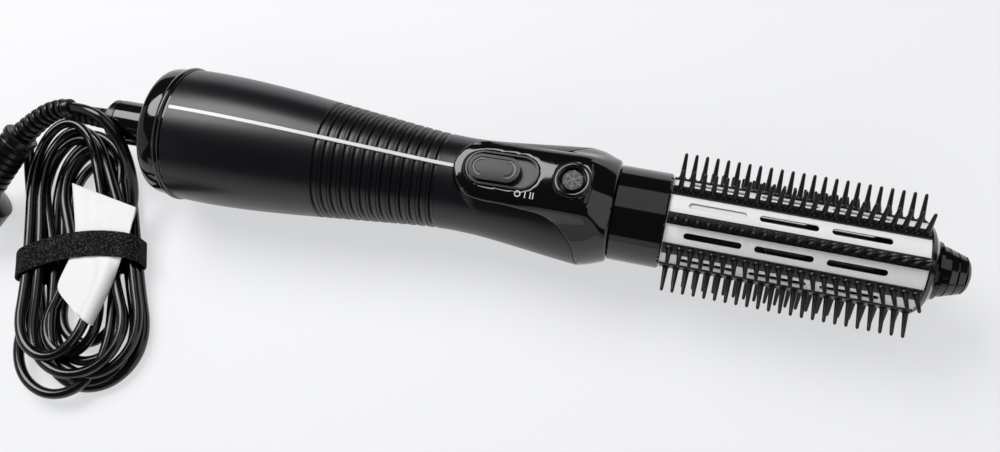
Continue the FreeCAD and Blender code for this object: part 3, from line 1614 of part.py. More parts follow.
TAG_OUTLINE = [
    (-198.3, -30.5), (-168.5, -33.6), (-160.8, -47.5), (-160.3, -60.8), (-163.5, -94.4),
    (-171.9, -90.9), (-186.4, -81.8), (-185.5, -72.7), (-185.0, -62.6), (-187.7, -53.0),
]

shaped("cord_lead", cord_tube("cord_lead", LEAD_ROUTE, CORD_RADIUS))
shaped("cord_tail", cord_tube("cord_tail", TAIL_ROUTE, CORD_RADIUS))


def tie_window(grown):
    """The opening inside the tie, or its outside when grown by the band's thickness."""
    thick = value("tie_thickness")
    top = value("hank_height + tag_thickness") + 0.05
    half = value("tie_half_span") - thick + grown
    width = value("tie_width") if grown else BIG
    low = thick - grown
    box = Part.makeBox(2 * half, width, top + grown - low, Vector(-half, -width / 2, low))
    edges = [edge for edge in box.Edges if abs(edge.tangentAt(0).y) > 0.99]
    return box.makeFillet(value("tie_corner_radius") + grown, edges)


def tie_placed(solid):
    placed = solid.copy()
    middle = Vector(value("tie_x"), value("tie_y"), 0)
    placed.Placement = Placement(middle, Rotation(Vector(0, 0, 1), value("tie_angle")))
    return placed


def tie_band():
    return tie_window(value("tie_thickness")).cut(tie_window(0.0))


def tie_squeeze():
    """Whatever the tie draws in: its lane across the coil, less its own window."""
    width = value("tie_width")
    lane = Part.makeBox(BIG, width, BIG, Vector(-BIG / 2, -width / 2, -BIG / 2))
    return tie_placed(lane.cut(tie_window(0.0)))


def cord_hank():
    """All of the coiled cord as one rounded solid, drawn in at the waist by its tie."""
    curve = Part.BSplineCurve()
    curve.interpolate([Vector(x, y, 0) for x, y in HANK_OUTLINE], PeriodicFlag=True)
    face = Part.Face(Part.Wire(curve.toShape()))
    hank = face.extrude(Vector(0, 0, value("hank_height")))
    rims = [edge for edge in hank.Edges if abs(edge.BoundBox.ZLength) < 0.01]
    return hank.makeFillet(value("hank_round"), rims).cut(tie_squeeze())


shaped("cord_hank", cord_hank())
shaped("cable_tie", tie_placed(tie_band()))


def cord_tag():
    """A plain tag that lies on the coil and passes under the tie."""
    corners = [Vector(x, y, value("hank_height")) for x, y in TAG_OUTLINE]
    face = Part.Face(Part.makePolygon(corners + corners[:1]))
    return face.extrude(Vector(0, 0, value("tag_thickness"))).cut(tie_squeeze())


shaped("cord_tag", cord_tag())


def plug_relief():
    """The plug's bend relief: a sleeve along the cord with rings that grow."""
    sleeve_tube = cord_tube("plug_relief", RELIEF_ROUTE, value("plug_relief_radius") - 0.9)
    edges = cord_edges("plug_relief", RELIEF_ROUTE)
    line = Part.Wire(edges).approximate(0.01, 0.01, 40, 5)
    rings = []
    count = int(value("plug_relief_rings"))
    for k in range(count):
        share = (k + 0.35) / count
        at = line.value(line.parameterAtDistance(share * line.length(), line.FirstParameter))
        heading = line.tangent(line.parameter(at))[0]
        radius = value("plug_relief_radius") - 0.7 + 1.1 * share
        rings.append(Part.makeCylinder(radius, value("plug_ring_width"), at, heading))
    return sleeve_tube.fuse(rings)


shaped("plug_relief", plug_relief())

GRIP_FRONT = "(plug_length - plug_face_length - 6)"
FACE_REAR = "(plug_length - plug_face_length)"
plug = turned("plug_body", [
    ("0", "0"),
    ("0", "plug_flange_radius - 0.6"),
    ("0.6", "plug_flange_radius"),
    ("plug_flange", "plug_flange_radius"),
    ("plug_flange", "plug_grip_radius * 0.66"),
    ("plug_flange + 4", "plug_grip_radius * 0.66"),
    ("plug_flange + 6", "plug_grip_radius - 0.8"),
    ("plug_flange + 9", "plug_grip_radius"),
    (GRIP_FRONT, "plug_grip_radius + 0.6"),
    (FACE_REAR, "plug_face_radius"),
    ("plug_length - 1", "plug_face_radius"),
    ("plug_length", "plug_face_radius - 1"),
    ("plug_length", "0"),
])
PLUG_REAR = Vector(*RELIEF_ROUTE[-1])
plug.Placement = Placement(PLUG_REAR, Rotation(Vector(1, 0, 0), PLUG_HEADING))


def plug_pins():
    """Two round contact pins, side by side and level."""
    aside = PLUG_HEADING.cross(Vector(0, 0, 1)).normalize()
    face = PLUG_REAR + PLUG_HEADING * value("plug_length")
    pins = []
    for side in (-1, 1):
        start = face + aside * (side * value("pin_spacing") / 2)
        pin = Part.makeCylinder(value("pin_radius"), value("pin_length"), start, PLUG_HEADING)
        pins.append(pin)
    return Part.makeCompound(pins)


shaped("plug_pins", plug_pins())

# Every object has to have recomputed well, and every piece has to be a sound solid.
doc.recompute()
for item in doc.Objects:
    if "Invalid" in item.State or "Error" in item.State:
        raise RuntimeError(f"{item.Label} did not recompute: {item.State}")
os.makedirs("parts", exist_ok=True)
for part in nodes:
    shape = part.Shape
    if shape.isNull() or not shape.isValid() or not shape.Solids:
        raise RuntimeError(f"{part.Label} is not a sound solid")
    box = shape.BoundBox
    print(
        f"{part.Label:24s} solids {len(shape.Solids)} volume {shape.Volume:10.1f}"
        f" x {box.XMin:8.2f} {box.XMax:8.2f} y {box.YMin:8.2f} {box.YMax:8.2f}"
        f" z {box.ZMin:7.2f} {box.ZMax:7.2f}"
    )
    part.Shape.exportStep(f"parts/{part.Label}.step")
print(f"{len(nodes)} nodes")
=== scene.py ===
# %% [markdown]
# # Dressing a hot-air styling brush
#
# The brush comes in as a imported CAD model: one mesh for each of its pieces, all in one frame.
# X runs from the cord to the tip, Z is up with the switch on top, and the table is at Z = 0.
# This lesson gives the pieces their finishes. It models again the ones whose surface has to be
# finer than the CAD mesh: the housing, the collar, the bezel, the cord, the plug, its sleeve,
# the tie and the tag. It also makes smooth copies of the springs, printed marks and one small pad.

import math

import bmesh
import bpy
from mathutils import Matrix, Vector


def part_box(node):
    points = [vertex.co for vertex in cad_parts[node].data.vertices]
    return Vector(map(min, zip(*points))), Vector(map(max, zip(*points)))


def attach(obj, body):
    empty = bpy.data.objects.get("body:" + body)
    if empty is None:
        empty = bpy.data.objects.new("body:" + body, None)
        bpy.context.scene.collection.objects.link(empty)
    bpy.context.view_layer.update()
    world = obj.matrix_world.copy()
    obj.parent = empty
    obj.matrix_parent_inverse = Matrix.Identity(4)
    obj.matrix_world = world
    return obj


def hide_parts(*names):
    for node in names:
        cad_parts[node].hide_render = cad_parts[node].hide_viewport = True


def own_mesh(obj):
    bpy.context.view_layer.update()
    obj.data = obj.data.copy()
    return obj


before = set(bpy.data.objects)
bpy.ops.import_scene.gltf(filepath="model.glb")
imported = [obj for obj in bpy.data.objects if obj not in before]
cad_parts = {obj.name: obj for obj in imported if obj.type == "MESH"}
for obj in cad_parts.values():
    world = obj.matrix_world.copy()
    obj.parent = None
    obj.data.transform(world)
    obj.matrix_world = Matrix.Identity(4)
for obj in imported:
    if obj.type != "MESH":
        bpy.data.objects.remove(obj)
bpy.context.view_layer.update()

# %% [markdown]
# ## Sizes
#
# Everything is in metres. The places along the axis are read from the frame's own pieces, so
# that a new length in the CAD moves the scene with it. Sizes that the CAD doesn't show are
# written here once, in millimetres, and turned to metres by `MM`.

# %% Stations along the axis
MM = 0.001


def low(node):
    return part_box(node)[0]


def high(node):
    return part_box(node)[1]


AXIS_HEIGHT = high("rear_collar").z / 2
COLLAR_REAR = low("rear_collar").x
HOUSING_FRONT = high("front_housing").x
SLEEVE_FRONT = high("brush_sleeve").x
stations = (COLLAR_REAR, HOUSING_FRONT, SLEEVE_FRONT)
print("axis height", round(AXIS_HEIGHT, 4), "stations", [round(x, 4) for x in stations])

# %% [markdown]
# ## Camera
#
# The brush is seen from above and a little from its near side, tilted in the picture. The
# camera is set by its place and by two directions, to the right and up in the picture.

# %% The camera
CAMERA_PLACE = Vector((83.0, -136.8, 406.9)) * MM
PICTURE_RIGHT = Vector((0.96761, 0.22962, -0.10487))
PICTURE_UP = Vector((-0.18369, 0.92543, 0.33143))
FOCAL_PIXELS = 923
PICTURE_WIDTH = 1000


def linked(name, data):
    """A new object in the scene with this data."""
    piece = bpy.data.objects.new(name, data)
    bpy.context.collection.objects.link(piece)
    return piece


camera = bpy.data.cameras.new("camera")
camera.sensor_width = 36.0
camera.lens = camera.sensor_width * FOCAL_PIXELS / PICTURE_WIDTH
viewer = linked("camera", camera)
bpy.context.scene.camera = viewer
toward_viewer = PICTURE_RIGHT.cross(PICTURE_UP)
turn = Matrix((PICTURE_RIGHT, PICTURE_UP, toward_viewer)).transposed().to_4x4()
viewer.matrix_world = Matrix.Translation(CAMERA_PLACE) @ turn
print("camera looks along", [round(-c, 3) for c in toward_viewer])

# %% [markdown]
# ## Finishes are written as expressions
#
# A finish is a Principled shader with a few patterns in front of it. `Finish` makes the
# material, and its one method `add` puts in any other node: first its settings, then the
# values or links of its sockets. A `Value` wraps one output, and sums and products of values
# add the Math nodes, so that a pattern reads like arithmetic.

# %% Values and finishes
class Value:
    """One number that changes over a surface. Arithmetic on it adds Math nodes."""

    def __init__(self, finish, socket):
        self.finish = finish
        self.socket = socket

    def math(self, operation, *others):
        node = self.finish.add("ShaderNodeMath", {"operation": operation}, {0: self})
        for place, other in enumerate(others, start=1):
            self.finish.feed(node.inputs[place], other)
        return Value(self.finish, node.outputs[0])

    def __add__(self, other):
        return self.math("ADD", other)

    __radd__ = __add__

    def __mul__(self, other):
        return self.math("MULTIPLY", other)

    __rmul__ = __mul__

    def __sub__(self, other):
        return self.math("SUBTRACT", other)

    def __rsub__(self, other):
        return self * -1 + other

    def above(self, limit):
        return self.math("GREATER_THAN", limit)

    def within(self, lowest, highest):
        """Runs from 0 to 1 as the value goes from the lowest to the highest."""
        settings = {"clamp": True}
        sockets = {"Value": self, "From Min": lowest, "From Max": highest}
        node = self.finish.add("ShaderNodeMapRange", settings, sockets)
        return Value(self.finish, node.outputs["Result"])


class Finish:
    """A named material: a Principled shader, and the patterns that feed it."""

    def __init__(self, name, color, roughness, **shader_values):
        self.material = bpy.data.materials.new(name)
        self.material.use_nodes = True
        self.tree = self.material.node_tree
        self.shader = self.tree.nodes["Principled BSDF"]
        self.shader.inputs["Base Color"].default_value = (*color, 1.0)
        self.shader.inputs["Roughness"].default_value = roughness
        for socket, number in shader_values.items():
            self.shader.inputs[socket.replace("_", " ")].default_value = number
        self.material.diffuse_color = (*color, 1.0)

    def feed(self, socket, value):
        if isinstance(value, Value):
            self.tree.links.new(value.socket, socket)
        elif hasattr(value, "is_output"):
            self.tree.links.new(value, socket)
        else:
            socket.default_value = value

    def add(self, kind, settings=None, sockets=None):
        node = self.tree.nodes.new(kind)
        for key, setting in (settings or {}).items():
            setattr(node, key, setting)
        for key, value in (sockets or {}).items():
            self.feed(node.inputs[key], value)
        return node

    def point(self):
        """The point on the surface, in the piece's own coordinates."""
        return self.add("ShaderNodeTexCoord").outputs["Object"]

    def place(self, scale=(1.0, 1.0, 1.0)):
        """The point on the surface, stretched for a pattern."""
        sockets = {"Vector": self.point(), "Scale": scale}
        return self.add("ShaderNodeMapping", None, sockets).outputs["Vector"]

    def split(self, vector):
        """The three parts of a vector, as values."""
        parts = self.add("ShaderNodeSeparateXYZ", None, {0: vector}).outputs
        return [Value(self, parts[axis]) for axis in "XYZ"]

    def from_axis(self):
        """How far a point is to the side of the brush's axis, above it and away from it."""
        _, side, height = self.split(self.point())
        up = height - AXIS_HEIGHT
        return side, up, (side * side + up * up).math("POWER", 0.5)

    def turned_normal(self, keeps_top=False):
        """The normal of a turned surface round the brush's axis, in place of the mesh's own.

        It stays the mesh's own on walls, and with keeps_top also where the surface looks up.
        """
        side, up, away = self.from_axis()
        own = self.add("ShaderNodeNewGeometry").outputs["Normal"]
        ahead, own_side, own_up = self.split(own)
        around = (1 - ahead * ahead).math("MAXIMUM", 0.0).math("POWER", 0.5)
        facing = (own_side * side + own_up * up).math("DIVIDE", away)
        share = facing.math("DIVIDE", around + 0.0001).within(0.5, 0.6)
        if keeps_top:
            share = share * own_up.within(0.92, 0.8)
        length = around.math("DIVIDE", away)
        sockets = {"X": ahead, "Y": side * length, "Z": up * length}
        turned = self.add("ShaderNodeCombineXYZ", None, sockets).outputs[0]
        sockets = {0: share, 4: own, 5: turned}
        blend = self.add("ShaderNodeMix", {"data_type": "VECTOR"}, sockets)
        unit = self.add("ShaderNodeVectorMath", {"operation": "NORMALIZE"}, {0: blend.outputs[1]})
        return unit.outputs[0]

    def noise(self, scale, detail=3.0, place=None):
        sockets = {"Scale": scale, "Detail": detail, "Vector": place or self.place()}
        node = self.add("ShaderNodeTexNoise", None, sockets)
        return Value(self, node.outputs["Fac"])

    def mix(self, share, first, second):
        """A colour between two colours."""
        sockets = {0: share, 6: first, 7: second}
        return self.add("ShaderNodeMix", {"data_type": "RGBA"}, sockets).outputs[2]

    def color(self, value):
        self.feed(self.shader.inputs["Base Color"], value)

    def rough(self, value):
        self.feed(self.shader.inputs["Roughness"], value)

    def bump(self, height, depth, strength=1.0, normal=None):
        """Raises the surface by a height from 0 to 1, times a depth in metres."""
        sockets = {"Height": height, "Distance": depth, "Strength": strength}
        if normal:
            sockets["Normal"] = normal
        node = self.add("ShaderNodeBump", None, sockets)
        self.feed(self.shader.inputs["Normal"], node.outputs["Normal"])


# %% [markdown]
# ## Black plastics
#
# The brush is black almost all over, and it is the gloss that tells its pieces apart. The
# shells are soft-touch: wide, weak highlights over a very fine grain. The housing, the collar
# and the knob are polished. The sleeve and the bristles lie between the two. One colour and
# one roughness could do for each, but a fine bump and a slow change of gloss are what make a
# moulding look real from near by.

# %% Finishes of the plastics
def soft_touch():
    finish = Finish("soft_touch_black", (0.0055, 0.0055, 0.006), 0.42)
    grain = finish.noise(5200, 4)
    cloud = finish.noise(38, 2)
    finish.color(finish.mix(cloud, (0.0035, 0.004, 0.0055, 1), (0.005, 0.0055, 0.007, 1)))
    finish.rough(0.23 + grain * 0.08 + cloud * 0.05)
    finish.bump(grain, 0.00003, 0.3, finish.turned_normal(keeps_top=True))
    return finish.material


def polished(name, color=(0.0025, 0.0025, 0.003), roughness=0.07, turned=False):
    finish = Finish(name, color, roughness, Coat_Weight=0.25, Coat_Roughness=0.03)
    ripple = finish.noise(160, 2)
    haze = finish.noise(900, 4)
    finish.rough(roughness - 0.02 + haze * 0.06)
    finish.bump(ripple, 0.0003, 0.05, finish.turned_normal() if turned else None)
    return finish.material


def moulded(name, color, roughness):
    finish = Finish(name, color, roughness)
    grain = finish.noise(3000, 3)
    cloud = finish.noise(60, 2)
    darker = tuple(0.82 * c for c in color)
    finish.color(finish.mix(cloud, (*darker, 1), (*color, 1)))
    finish.rough(roughness - 0.05 + grain * 0.12)
    finish.bump(grain, 0.00003, 0.3)
    return finish.material


SOFT_TOUCH = soft_touch()
TURNED_GLOSS = polished("turned_gloss", turned=True)
GLOSS = polished("gloss_black")
SATIN = moulded("satin_black", (0.004, 0.004, 0.0045), 0.27)
BRISTLE = moulded("bristle_black", (0.004, 0.004, 0.0045), 0.28)
DARK_GREY = moulded("dark_grey", (0.006, 0.006, 0.007), 0.2)
MID_GREY = moulded("mid_grey", (0.02, 0.02, 0.022), 0.3)
HEATPROOF = moulded("heatproof_plastic", (0.085, 0.08, 0.075), 0.5)
NATURAL = moulded("natural_plastic", (0.72, 0.71, 0.67), 0.45)
SWITCH_BLACK = moulded("switch_black", (0.02, 0.02, 0.02), 0.4)
TANK = moulded("tank_plastic", (0.03, 0.033, 0.036), 0.2)
SEAL = moulded("seal_rubber", (0.25, 0.04, 0.02), 0.5)

# %% [markdown]
# ## Metals, mica and the rest
#
# The barrel's panels are pale satin aluminium with very fine lines. They are almost as white as
# paint, so their finish is hardly metallic. The trim strip is silver paint. Inside, the motor
# can is zinc-plated, the heater's plates are mica, and the boards are green with pale pads.
# Images could give these patterns. Noise is used, as it has no seams and needs no unwrapping.

# %% Finishes of the metals and the inner pieces
def metal(name, color, roughness):
    finish = Finish(name, color, roughness, Metallic=1.0)
    lines = finish.noise(1500, 4)
    darker = tuple(0.86 * c for c in color)
    finish.color(finish.mix(lines, (*darker, 1), (*color, 1)))
    finish.rough(roughness - 0.06 + lines * 0.12)
    finish.bump(lines, 0.00002, 0.25)
    return finish.material


def barrel_skin():
    """Satin aluminium outside; the inner wall and the slots' depths are painted near-black as
    shade.
    """
    finish = Finish("satin_aluminium", (0.9, 0.905, 0.92), 0.36, Metallic=0.04)
    lines = finish.noise(2600, 4, finish.place(scale=(1.0, 0.06, 0.06)))
    cloud = finish.noise(120, 3)
    _, _, away = finish.from_axis()
    # Inside this radius the colour is painted shade: the barrel's inner wall and the slots' depths
    # are near-black.
    outer = away.within(BARREL_RADIUS - 0.0007, BARREL_RADIUS - 0.0004)
    silver = finish.mix(lines * 0.5 + cloud * 0.5, (0.93, 0.935, 0.95, 1), (0.99, 0.99, 1.0, 1))
    finish.color(finish.mix(outer, (0.012, 0.012, 0.013, 1), silver))
    finish.feed(finish.shader.inputs["Metallic"], outer * 0.04)
    finish.rough(0.36 + lines * 0.12)
    finish.bump(lines, 0.00002, 0.25)
    return finish.material


def mica():
    finish = Finish("mica", (0.5, 0.38, 0.22), 0.35)
    flakes = finish.noise(420, 5)
    finish.color(finish.mix(flakes, (0.36, 0.25, 0.13, 1), (0.62, 0.5, 0.32, 1)))
    finish.rough(0.25 + flakes * 0.3)
    return finish.material


def circuit_green():
    finish = Finish("circuit_green", (0.01, 0.11, 0.04), 0.3)
    tracks = finish.noise(700, 1, finish.place(scale=(1.0, 0.25, 1.0)))
    share = tracks.within(0.52, 0.55)
    finish.color(finish.mix(share, (0.008, 0.09, 0.03, 1), (0.02, 0.19, 0.07, 1)))
    return finish.material


BARREL_RADIUS = (high("barrel").y - low("barrel").y) / 2
ALUMINIUM = barrel_skin()
BRIGHT = moulded("bright_trim", (0.8, 0.8, 0.81), 0.3)
STEEL = metal("steel", (0.56, 0.57, 0.59), 0.25)
ZINC = metal("zinc_plate", (0.5, 0.51, 0.53), 0.33)
COIL_WIRE = metal("coil_wire", (0.3, 0.26, 0.22), 0.45)
NICKEL = metal("nickel", (0.72, 0.71, 0.68), 0.2)
MICA = mica()
CIRCUIT = circuit_green()
LEAD_BROWN = moulded("lead_brown", (0.11, 0.035, 0.012), 0.4)

NODE_FINISH = {
    SOFT_TOUCH: ["handle_shell_far", "handle_shell_near"],
    TURNED_GLOSS: ["rear_collar", "cord_boss", "end_cap", "tip_knob", "brush_sleeve"],
    SATIN: ["intake_grille", "strain_relief", "cold_shot_button", "plug_body"],
    BRISTLE: [f"bristle_strip_{number}" for number in range(1, 10)],
    DARK_GREY: ["swivel_ring", "switch_cap"],
    MID_GREY: ["switch_tray"],
    HEATPROOF: ["fan_shroud", "motor_mount", "heater_bulkhead", "air_nozzle", "catch_ring"],
    NATURAL: ["impeller", "wick"],
    SWITCH_BLACK: ["cold_shot_microswitch", "slide_switch_body"],
    TANK: ["water_cartridge"],
    SEAL: ["cartridge_seal"],
    ALUMINIUM: ["barrel"],
    BRIGHT: ["seam_trim"],
    GLOSS: ["front_housing", "button_bezel"],
    STEEL: ["shell_screws", "lint_screen", "motor_shaft", "thermal_fuse", "thermostat"],
    ZINC: ["motor_can", "button_spring", "steam_spring"],
    COIL_WIRE: ["heater_coil"],
    NICKEL: ["plug_pins"],
    MICA: ["heater_tube", "heater_former"],
    CIRCUIT: ["circuit_board", "rectifier_board"],
    LEAD_BROWN: ["mains_leads"],
}
for finish, names in NODE_FINISH.items():
    for name in names:
        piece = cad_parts[name]
        piece.data.materials.clear()
        piece.data.materials.append(finish)
print("finishes", len(NODE_FINISH))

# %% [markdown]
# ## The cord
#
# The cord leaves the strain relief, makes nine turns in a tied hank, and goes back up to the
# plug. It is one open NURBS spline. Its free stretches are listed points, and the hank's turns
# are made by a loop.
#
# The hank has axes of its own: `DOWN` runs along it and `ACROSS` along the tie. A turn is two
# bows, one below the tie and one above. Each bow has a reach, the place of its middle across
# the hank, half its width, and a height. No two turns are alike, as they fan out loosely.

# %% The cord's line
CORD_DIAMETER = 4.8
LEAD_ROUTE = [
    (-205, 0, 31), (-212.5, 0.2, 31), (-220.5, -2.2, 28.8),
    (-226, -8.5, 23.5), (-228, -17.5, 17), (-226.5, -28, 11.5), (-223.4, -38, 8.2),
]
TAIL_ROUTE = [
    (-170.0, -50.5, 8.6), (-167.4, -41.0, 9.8), (-165.6, -31.2, 15.0), (-165.2, -22.0, 25.0),
    (-167.0, -13.6, 36.0), (-173.5, -6.3, 43.6), (-184, -2.2, 45.8), (-194.1, -2, 43.6),
]
RELIEF_ROUTE = [(-194.1, -2, 43.6), (-202.5, -3.2, 41.4), (-212.3, -8.2, 37.6), (-221.3, -16.5, 33)]

HANK_MIDDLE = Vector((-183.7, -65.3, 0))
DOWN = Vector((0.338, -0.941, 0))
ACROSS = Vector((0.941, 0.338, 0))

# Each turn: where its two strands pass the tie, as (across, height), then its lower bow and its
# upper bow, as (reach, middle, half width, height). The last turn ends in the tail.
TURNS = [
    ((-25.0, 3.7), (25.5, 3.7), (58.6, 5.5, 25.0, 3.0), (51.0, 6.0, 15.5, 3.8)),
    ((-8.0, 3.8), (10.0, 3.8), (38.0, 2.5, 14.5, 4.0), (57.0, 3.5, 16.0, 5.0)),
    ((-12.8, 3.8), (10.0, 8.7), (47.0, 4.0, 18.5, 5.6), (61.5, 2.0, 17.0, 6.6)),
    ((-17.5, 4.2), (20.5, 3.7), (56.5, 5.5, 21.0, 4.6), (58.0, 3.0, 15.5, 8.0)),
    ((-4.0, 8.6), (6.0, 4.0), (43.0, -4.0, 13.8, 8.6), (65.0, 0.0, 20.5, 8.6)),
    ((-21.5, 8.8), (15.2, 4.0), (60.5, -8.5, 23.0, 7.4), (62.5, -4.0, 17.0, 10.0)),
    ((-13.5, 8.6), (25.0, 8.6), (54.0, 7.5, 22.0, 8.2), (66.5, -4.0, 17.0, 12.2)),
    ((-18.5, 13.2), (15.0, 9.0), (53.5, 1.5, 23.0, 11.8), (70.3, -8.0, 16.5, 14.0)),
    ((-24.5, 13.0), (20.0, 9.0), (44.5, -10.5, 16.0, 14.0), None),
]
# A bow's points: the share of its reach, the share of its half width, and how far the strand
# has come from its place at the tie to its place in the bow.
BOW = (
    (0.32, 0.96, 0.45), (0.62, 1.0, 0.9), (0.87, 0.8, 1.0), (1.03, 0.3, 1.0),
    (1.03, -0.3, 1.0), (0.87, -0.8, 1.0), (0.62, -1.0, 0.9), (0.32, -0.96, 0.45),
)
TIE_HALF_WIDTH = 2.0


def in_hank(along, across, height):
    place = HANK_MIDDLE + along * DOWN + across * ACROSS
    return (place.x, place.y, height)


def bow(start, end, way, shape):
    """Points from one strand round to the other. The way is 1 below the tie and -1 above it."""
    reach, middle, half_width, height = shape
    side = 1 if start[0] > end[0] else -1
    points = []
    for share, out, come in BOW:
        strand = start if out > 0 else end
        across = (middle + side * out * half_width) * come + strand[0] * (1 - come)
        points.append(in_hank(way * share * reach, across, height * come + strand[1] * (1 - come)))
    return points


def hank_turns():
    points = []
    for number, (left, right, lower, upper) in enumerate(TURNS):
        points.append(in_hank(-TIE_HALF_WIDTH, *left))
        points += bow(left, right, 1, lower)
        points.append(in_hank(TIE_HALF_WIDTH, *right))
        if upper:
            points += bow(right, TURNS[number + 1][0], -1, upper)
    return points


def spline_curve(name, points, thickness):
    """A smooth round curve with these points, in millimetres, as its control points."""
    curve = bpy.data.curves.new(name, "CURVE")
    curve.dimensions = "3D"
    spline = curve.splines.new("NURBS")
    spline.points.add(len(points) - 1)
    for control, place in zip(spline.points, points):
        control.co = (*(MM * c for c in place), 1.0)
    spline.order_u = 3
    spline.use_endpoint_u = True
    spline.resolution_u = 10
    curve.bevel_depth = thickness / 2 * MM
    curve.bevel_resolution = 5
    curve.use_fill_caps = True
    return linked(name, curve)


def spline_length(piece):
    """The length of a curve's own line, in metres."""
    bare = piece.copy()
    bare.data = piece.data.copy()
    bare.data.bevel_depth = 0
    line = bpy.data.meshes.new_from_object(bare)
    ends = [[line.vertices[end].co for end in edge.vertices] for edge in line.edges]
    total = sum((first - second).length for first, second in ends)
    bpy.data.objects.remove(bare)
    return total


CORD_SHINE = polished("cord_black", (0.003, 0.003, 0.0035), 0.17)
cord = spline_curve("mains_cord", LEAD_ROUTE + hank_turns() + TAIL_ROUTE, CORD_DIAMETER)
cord.data.materials.append(CORD_SHINE)
cord_length = spline_length(cord)
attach(cord, "handle")
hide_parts("cord_lead", "cord_hank", "cord_tail")
print("cord length", round(cord_length, 3), "points", len(cord.data.splines[0].points))

# %% [markdown]
# ## Rear collar
#
# The collar is a wide band with a soft shoulder, then a groove and a narrow rounded lip. The
# roundings are what the lamps draw, so its outline is spun again with them.

# %% Spun rings
def piece_from(name, mesh, finish=None):
    """A new object from a mesh that is ready, which is freed."""
    data = bpy.data.meshes.new(name)
    mesh.to_mesh(data)
    mesh.free()
    if finish:
        data.materials.append(finish)
    return linked(name, data)


def sharpen(piece, degrees):
    """Keeps edges crisp where two faces turn by more than this."""
    mesh = bmesh.new()
    mesh.from_mesh(piece.data)
    for edge in mesh.edges:
        if len(edge.link_faces) == 2 and edge.calc_face_angle(0) > math.radians(degrees):
            edge.smooth = False
    mesh.to_mesh(piece.data)
    mesh.free()


def spun(name, section, placing, finish, steps=96):
    """A ring from a closed section of (across, up) points, in millimetres, spun and placed."""
    mesh = bmesh.new()
    corners = [mesh.verts.new((across, 0.0, up)) for across, up in section]
    edges = [mesh.edges.new(pair) for pair in zip(corners, corners[1:] + corners[:1])]
    bmesh.ops.spin(mesh, geom=corners + edges, axis=(0, 0, 1), cent=(0, 0, 0), dvec=(0, 0, 0),
                   angle=math.tau, steps=steps, use_merge=True, use_duplicate=False)
    bmesh.ops.remove_doubles(mesh, verts=mesh.verts, dist=1e-5)
    bmesh.ops.recalc_face_normals(mesh, faces=mesh.faces)
    bmesh.ops.transform(mesh, matrix=placing @ Matrix.Scale(MM, 4), verts=mesh.verts)
    for face in mesh.faces:
        face.smooth = True
    return piece_from(name, mesh, finish)


# %% The collar
SPIGOT_RADIUS = 28.2
SEAT_RADIUS = 26.4
COLLAR_SECTION = [
    (25.2, 0.0), (27.3, 0.0), (28.0, 0.25), (28.6, 0.8), (29.0, 1.5), (29.35, 2.6), (29.6, 4.2),
    (29.75, 6.2), (29.8, 7.8), (29.75, 8.5), (29.8, 8.8), (30.35, 8.95), (30.8, 9.4), (31.0, 10.1),
    (31.0, 10.5), (30.8, 11.2), (30.35, 11.65), (29.9, 11.8), (29.9, 12.8), (SPIGOT_RADIUS, 12.8),
    (SPIGOT_RADIUS, 16.8), (SEAT_RADIUS, 16.8), (SEAT_RADIUS, 3.4), (25.2, 3.4),
]
at_the_rear = Matrix.Translation((COLLAR_REAR, 0, AXIS_HEIGHT))
along_the_axis = at_the_rear @ Matrix.Rotation(math.radians(90), 4, "Y")
collar_ring = spun("collar_ring", COLLAR_SECTION, along_the_axis, GLOSS)
sharpen(collar_ring, 50)
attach(collar_ring, "handle")
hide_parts("rear_collar")
print("collar faces", len(collar_ring.data.polygons))

# %% [markdown]
# ## Front housing
#
# The housing is one flowing surface: the deck rolls over into the flanks without an edge. A
# CAD solid built from a tube and a deck meets in edges there. So a merged copy of the solid is
# remeshed evenly and its flanks are relaxed, while the deck round the switch, the joint with
# the shells and the front ring keep their places. It all gets a slight ease first.

# %% Even mesh of the housing
from mathutils.bvhtree import BVHTree

SKIN_GRAIN = 0.5


def merged_copy(node, name):
    """A new object with a node's surface, its loose triangles joined."""
    mesh = bmesh.new()
    mesh.from_mesh(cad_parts[node].data)
    bmesh.ops.remove_doubles(mesh, verts=mesh.verts, dist=1e-6)
    return piece_from(name, mesh)


def evenly_meshed(piece, grain):
    """Gives a piece even faces of one size, and leaves no modifier on it."""
    remesh = piece.modifiers.new("even", "REMESH")
    remesh.mode = "VOXEL"
    remesh.voxel_size = grain
    bpy.context.view_layer.update()
    seen = piece.evaluated_get(bpy.context.evaluated_depsgraph_get())
    even = bpy.data.meshes.new_from_object(seen)
    piece.modifiers.clear()
    piece.data = even


housing_skin = merged_copy("front_housing", "housing_skin")
evenly_meshed(housing_skin, SKIN_GRAIN * MM)
print("housing faces", len(housing_skin.data.polygons))


# %% Relax the flanks
EASE_STEPS = 9
RELAX_STEPS = 160
# What keeps its place: the deck this far to each side and at least this high, the front ring,
# the inner wall within a radius, and what lies this close to the shells.
KEPT_DECK = 10.2
KEPT_DECK_HEIGHT = 15
KEPT_RING = 1.5
KEPT_RADIUS = 17
KEPT_JOINT = 1.1


def tree_of(node):
    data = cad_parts[node].data
    corners = [vertex.co for vertex in data.vertices]
    return BVHTree.FromPolygons(corners, [tuple(face.vertices) for face in data.polygons])


